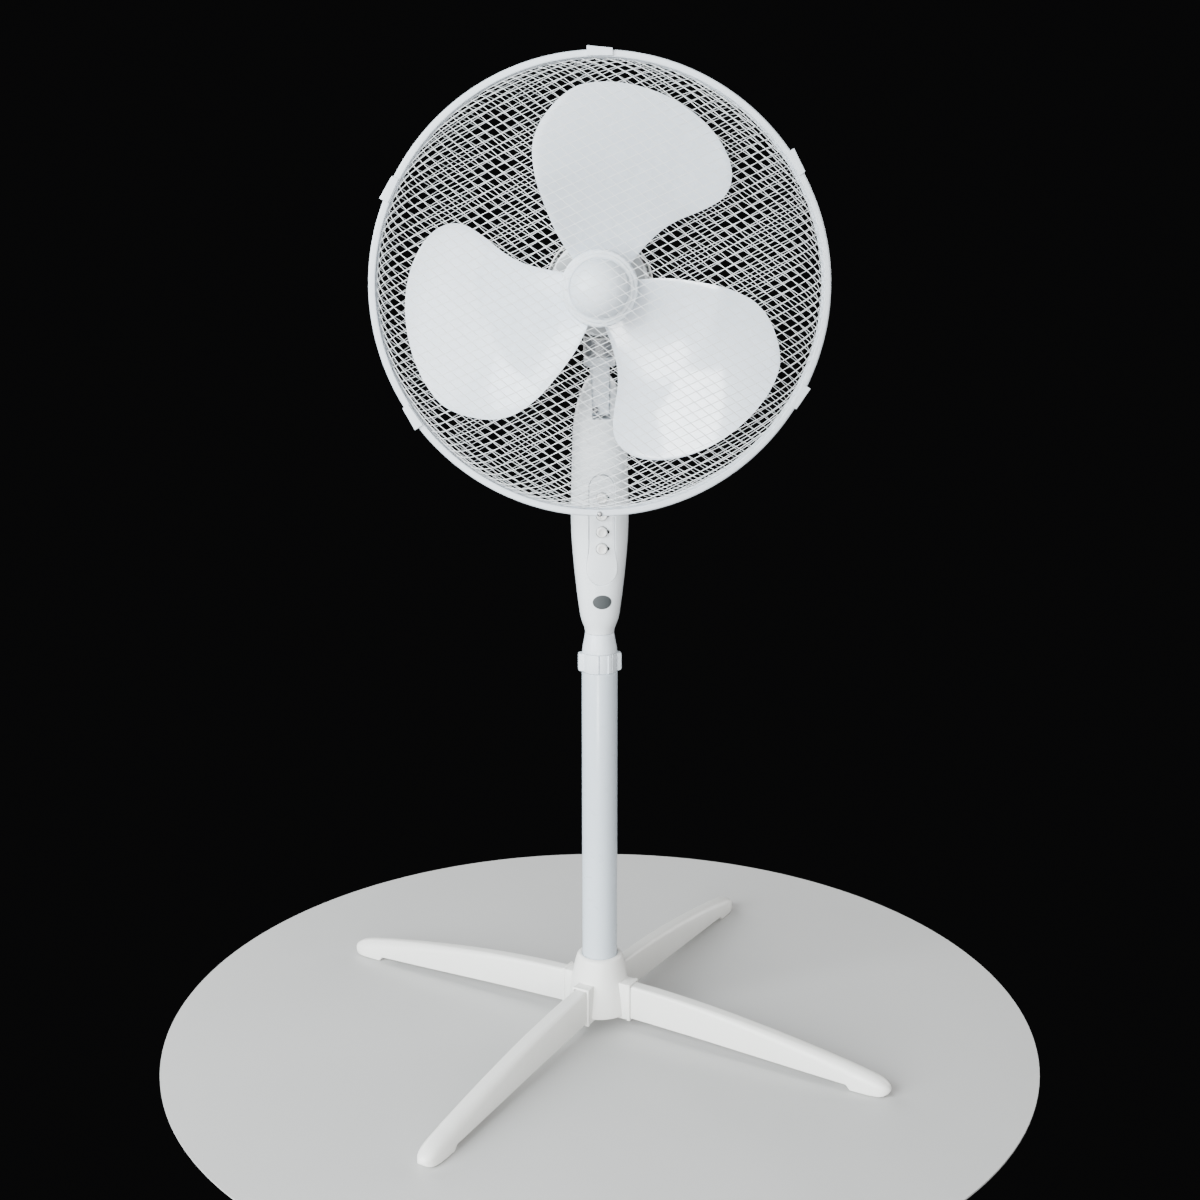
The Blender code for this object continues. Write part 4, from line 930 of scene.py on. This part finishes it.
def make_motor():
    front = turned_mesh(
        [
            (4.6, -44.5), (28.8, -44.5, 0.6), (28.8, -53.0), (46.2, -54.4, 1.0), (47.5, -56.6, 1.0),
            (47.5, -68.6), (45.0, -68.6), (45.0, -57.5), (11.0, -57.5), (11.0, -60.2), (8.3, -60.2),
            (8.3, -52.0), (4.6, -52.0),
        ],
        HEAD, 96, 0.4, True,
    )
    slots = []
    for i in range(12):
        turn = HEAD @ Matrix.Rotation(TAU * i / 12, 4, "Z")
        slots.append(minus(box_mesh((13, -2.2, -59), (25, 2.2, -42), turn, 1.2)))
        slots.append(minus(box_mesh((31.5, -4.6, -60), (43.6, 4.6, -50), turn, 1.2)))
    piece("motor_front_bell", combined(front, *slots), CAST, "head", ["motor_front_shield"])

    cover = turned_mesh(
        [
            (0, -164.0), (21.4, -163.2, 3), (34.6, -160.3, 3), (43.4, -153.4, 3), (48.2, -142.0, 3),
            (49.8, -128.0, 3), (50.2, -55.6), (51.2, -55.6, 0.4), (51.9, -56.4, 0.4), (51.9, -60.0, 0.3),
            (51.4, -60.4, 0.2), (51.4, -61.6, 0.2), (51.9, -62.0, 0.3), (51.95, -128.0, 6), (50.4, -143.0, 5),
            (45.4, -155.0, 5), (36.0, -162.5, 5), (22.0, -165.6, 5), (0, -166.3),
        ],
        HEAD, 128, 0.4,
    )
    cuts = []
    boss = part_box("motor_rear_shield")[0].z
    low = (boss - AXIS_HEIGHT) / MM
    cuts.append(minus(rod_mesh(17.2, (0, low - 3, RIM_Y / MM), 60, (0, 1, 0), HEAD)))
    wheel_x, wheel_z = WHEEL_AXIS
    cuts.append(minus(rod_mesh(3.4, (wheel_x, -70, wheel_z), 50, (0, 1, 0), HEAD)))
    cuts.append(minus(rod_mesh(2.0, (wheel_x, 20, wheel_z), 50, (0, 1, 0), HEAD)))
    for k in range(-4, 5):
        reach, middle = 26 - 0.7 * k * k, 5.6 * k
        cuts.append(minus(box_mesh((-reach, middle - 1.1, -175), (reach, middle + 1.1, -150), HEAD, 0.9)))
    cover = combined(cover, *cuts, sharp=35)
    piece("motor_shell", cover, WARM, "head", ["motor_cover"])

    upright = Matrix.Translation((wheel_x * MM, 0, wheel_z * MM)) @ Matrix.Rotation(math.radians(-90), 4, "X")
    knob = turned_mesh(
        [
            (0, 69.6), (2.6, 69.9, 1), (4.8, 69.4, 1), (6.3, 67.9, 1), (6.5, 65.6, 1), (5.3, 61.0, 3),
            (5.1, 56.7, 0.4), (1.5, 56.7), (1.5, 12.0), (0, 12.0),
        ],
        HEAD @ upright, 64, 0.4,
    )
    piece("swing_knob_cap", knob, KNOB_WHITE, "swing_knob", ["oscillation_knob"])


def make_tilt():
    at = MAST @ Matrix.Translation((0, 0, TILT_HEIGHT))
    turned_back = Matrix.Rotation(-COLUMN_TURN, 4, "Z")
    pin = turned_back @ Vector((8.49, 22.45, 0))
    flange = turned_mesh(
        [
            (0, 37.75), (15.0, 37.75, 0.8), (15.75, 37.0, 0.5), (15.75, 28.8, 0.5), (15.0, 28.0, 0.5),
            (0, 28.0),
        ],
        at, 96, 0.4,
    )
    along = math.degrees(math.atan2(pin.y, pin.x))
    lug = arc((pin.x, pin.y), 4.55, along - 90, along + 90, 17) + arc((0, 0), 9, along + 90, along + 270, 9)
    steps = [
        plus(box_mesh((-9.15, -7.5, -20.4), (9.15, 7.5, 30), at, 2.2)),
        plus(plate_mesh(lug, 28.1, 34.0, at, rounding=0.6)),
        plus(rod_mesh(6, (0, 0, 30), 29.9, (0, 0, 1), at)),
        plus(rod_mesh(1.8, (pin.x, pin.y, 31), 9.4, (0, 0, 1), at)),
        minus(rod_mesh(3.3, (-20, 0, 0), 40, (1, 0, 0), at)),
        minus(rod_mesh(4.1, (-4.6, -10, -15.4), 6.5, (0, 1, 0), at)),
    ]
    piece("neck_body", combined(flange, *steps), COOL, "neck", ["tilt_neck"])
    seat = at @ Matrix.Translation((-4.6 * MM, -3.8 * MM, -15.4 * MM)) @ FACE_FRONT
    head = turned_mesh([(0, 2.2), (1.8, 2.05, 0.5), (3.3, 0.8, 0.4), (3.4, 0), (0, 0)], seat, 40, 0.2)
    head = combined(head, *cross_slot(0.35, 1.9, 1.2, 3, seat))
    piece("neck_screw_head", head, SCREW_STEEL, "neck", ["neck_screw"])

    rim = []
    for i in range(160):
        a = TAU * i / 160
        r = 12.0 + 1.05 * math.cos(8 * a)
        rim.append((r * math.cos(a), r * math.sin(a)))
    sideways = at @ Matrix.Rotation(math.radians(90), 4, "Y")
    knob = plate_mesh(rim, 24.4, 38.3, sideways, rounding=1.4)
    steps = [
        plus(rod_mesh(5, (0, 0, 22.2), 4, (0, 0, 1), sideways)),
        minus(rod_mesh(3.3, (0, 0, 20), 16.4, (0, 0, 1), sideways)),
        minus(turned_mesh([(0, 42), (8.4, 42), (8.0, 37.2, 0.5), (0, 37.2)], sideways, 64, 0.3)),
    ]
    knob = combined(knob, *steps, sharp=35)
    piece("tilt_knob_body", knob, KNOB_WHITE, "tilt_knob", ["tilt_knob"])


# ---- CAD nodes that stay, with better materials --------------------------------------------------

KEPT = {
    STEEL: ["tilt_bolt", "motor_shaft", "crank", "link_arm"],
    SCREW_STEEL: [f"leg_screw_{i}" for i in range(1, 5)],
    CAST: ["motor_rear_shield", "gearbox_housing", "gearbox_cover"],
    LAMINATION: ["stator_core", "rotor_core"],
    COPPER: ["front_winding", "rear_winding"],
    BRONZE: ["front_bearing", "rear_bearing"],
    ACETAL: ["worm_wheel"],
    BLACK: ["switch_block", "run_capacitor", "cord_gland"],
}


def dress_kept_nodes():
    for look, names in KEPT.items():
        for name in names:
            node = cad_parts[name]
            for slot in node.material_slots:
                slot.material = look


# ---- stage, camera and lights --------------------------------------------------------------------


FLOOR_RADIUS, FLOOR_THICK, FLOOR_DROP = 0.45, 0.0015, 0.0002


def make_stage():
    bm = bmesh.new()
    bmesh.ops.create_circle(bm, cap_ends=True, radius=FLOOR_RADIUS, segments=160)
    disc = bmesh.ops.extrude_face_region(bm, geom=bm.faces[:])
    moved = [v for v in disc["geom"] if isinstance(v, bmesh.types.BMVert)]
    bmesh.ops.translate(bm, vec=(0, 0, -FLOOR_THICK), verts=moved)
    mesh = finish_mesh(bm, NO_TURN, 30)
    look = Look("pale_floor", (0.52, 0.52, 0.515), 0.65)
    look.tint(look.noise(3, 4), (0.49, 0.49, 0.485))
    mesh.materials.append(look.made)
    floor = bpy.data.objects.new("floor", mesh)
    floor.location = (0, 0, -FLOOR_DROP)
    bpy.context.scene.collection.objects.link(floor)


def make_camera():
    """A camera in front at chest height, 9.4 degrees downwards, with its frame shifted down."""
    data = bpy.data.cameras.new("camera")
    data.sensor_fit = "HORIZONTAL"
    data.sensor_width = 36
    data.lens = 47.46
    data.shift_y = -1 / 12
    camera = bpy.data.objects.new("camera", data)
    camera.location = (0.0003, -1.5658, 0.8209 + DATUM)
    camera.rotation_euler = (math.radians(90) - 0.1641, 0, 0)
    bpy.context.scene.collection.objects.link(camera)
    bpy.context.scene.camera = camera


def area_light(name, place, target, size, power, colour=(1, 1, 1)):
    data = bpy.data.lights.new(name, "AREA")
    data.shape = "RECTANGLE"
    data.size, data.size_y = size
    data.energy = power
    data.color = colour
    made = bpy.data.objects.new(name, data)
    made.location = place
    made.rotation_euler = (Vector(target) - Vector(place)).to_track_quat("-Z", "Y").to_euler()
    bpy.context.scene.collection.objects.link(made)


def make_lights():
    middle = (0, 0, 0.5)
    area_light("key", (-2.2, -2.2, 1.6), middle, (2.4, 2.4), 333, (0.935, 0.985, 1.0))
    area_light("front", (-0.1, -3.2, 1.2), middle, (2.2, 2.0), 96, (1.0, 0.995, 0.98))
    area_light("right", (2.3, -1.6, 0.9), middle, (1.2, 1.8), 5, (1.0, 0.98, 0.94))
    area_light("low_left", (-0.28, -1.4, 0.14), (0.09, -0.1, 0.69), (0.29, 0.24), 9)
    area_light("top", (-0.3, -0.4, 2.9), middle, (1.8, 1.8), 10)
    area_light("back_left", (-1.9, 2.0, 1.5), middle, (1.4, 1.8), 60)
    area_light("back_right", (2.3, 1.6, 1.2), middle, (1.4, 1.8), 60)
    world = bpy.data.worlds.new("world")
    world.use_nodes = True
    world.node_tree.nodes["Background"].inputs["Color"].default_value = (0.004, 0.004, 0.0042, 1)
    world.node_tree.nodes["Background"].inputs["Strength"].default_value = 1.0
    bpy.context.scene.world = world


# ---- run -----------------------------------------------------------------------------------------

make_camera()
make_lights()
make_stage()
make_legs()
make_hub()
make_pole()
make_collar()
make_column()
make_controls()
make_guard()
make_clips()
make_blades()
make_motor()
make_tilt()
dress_kept_nodes()
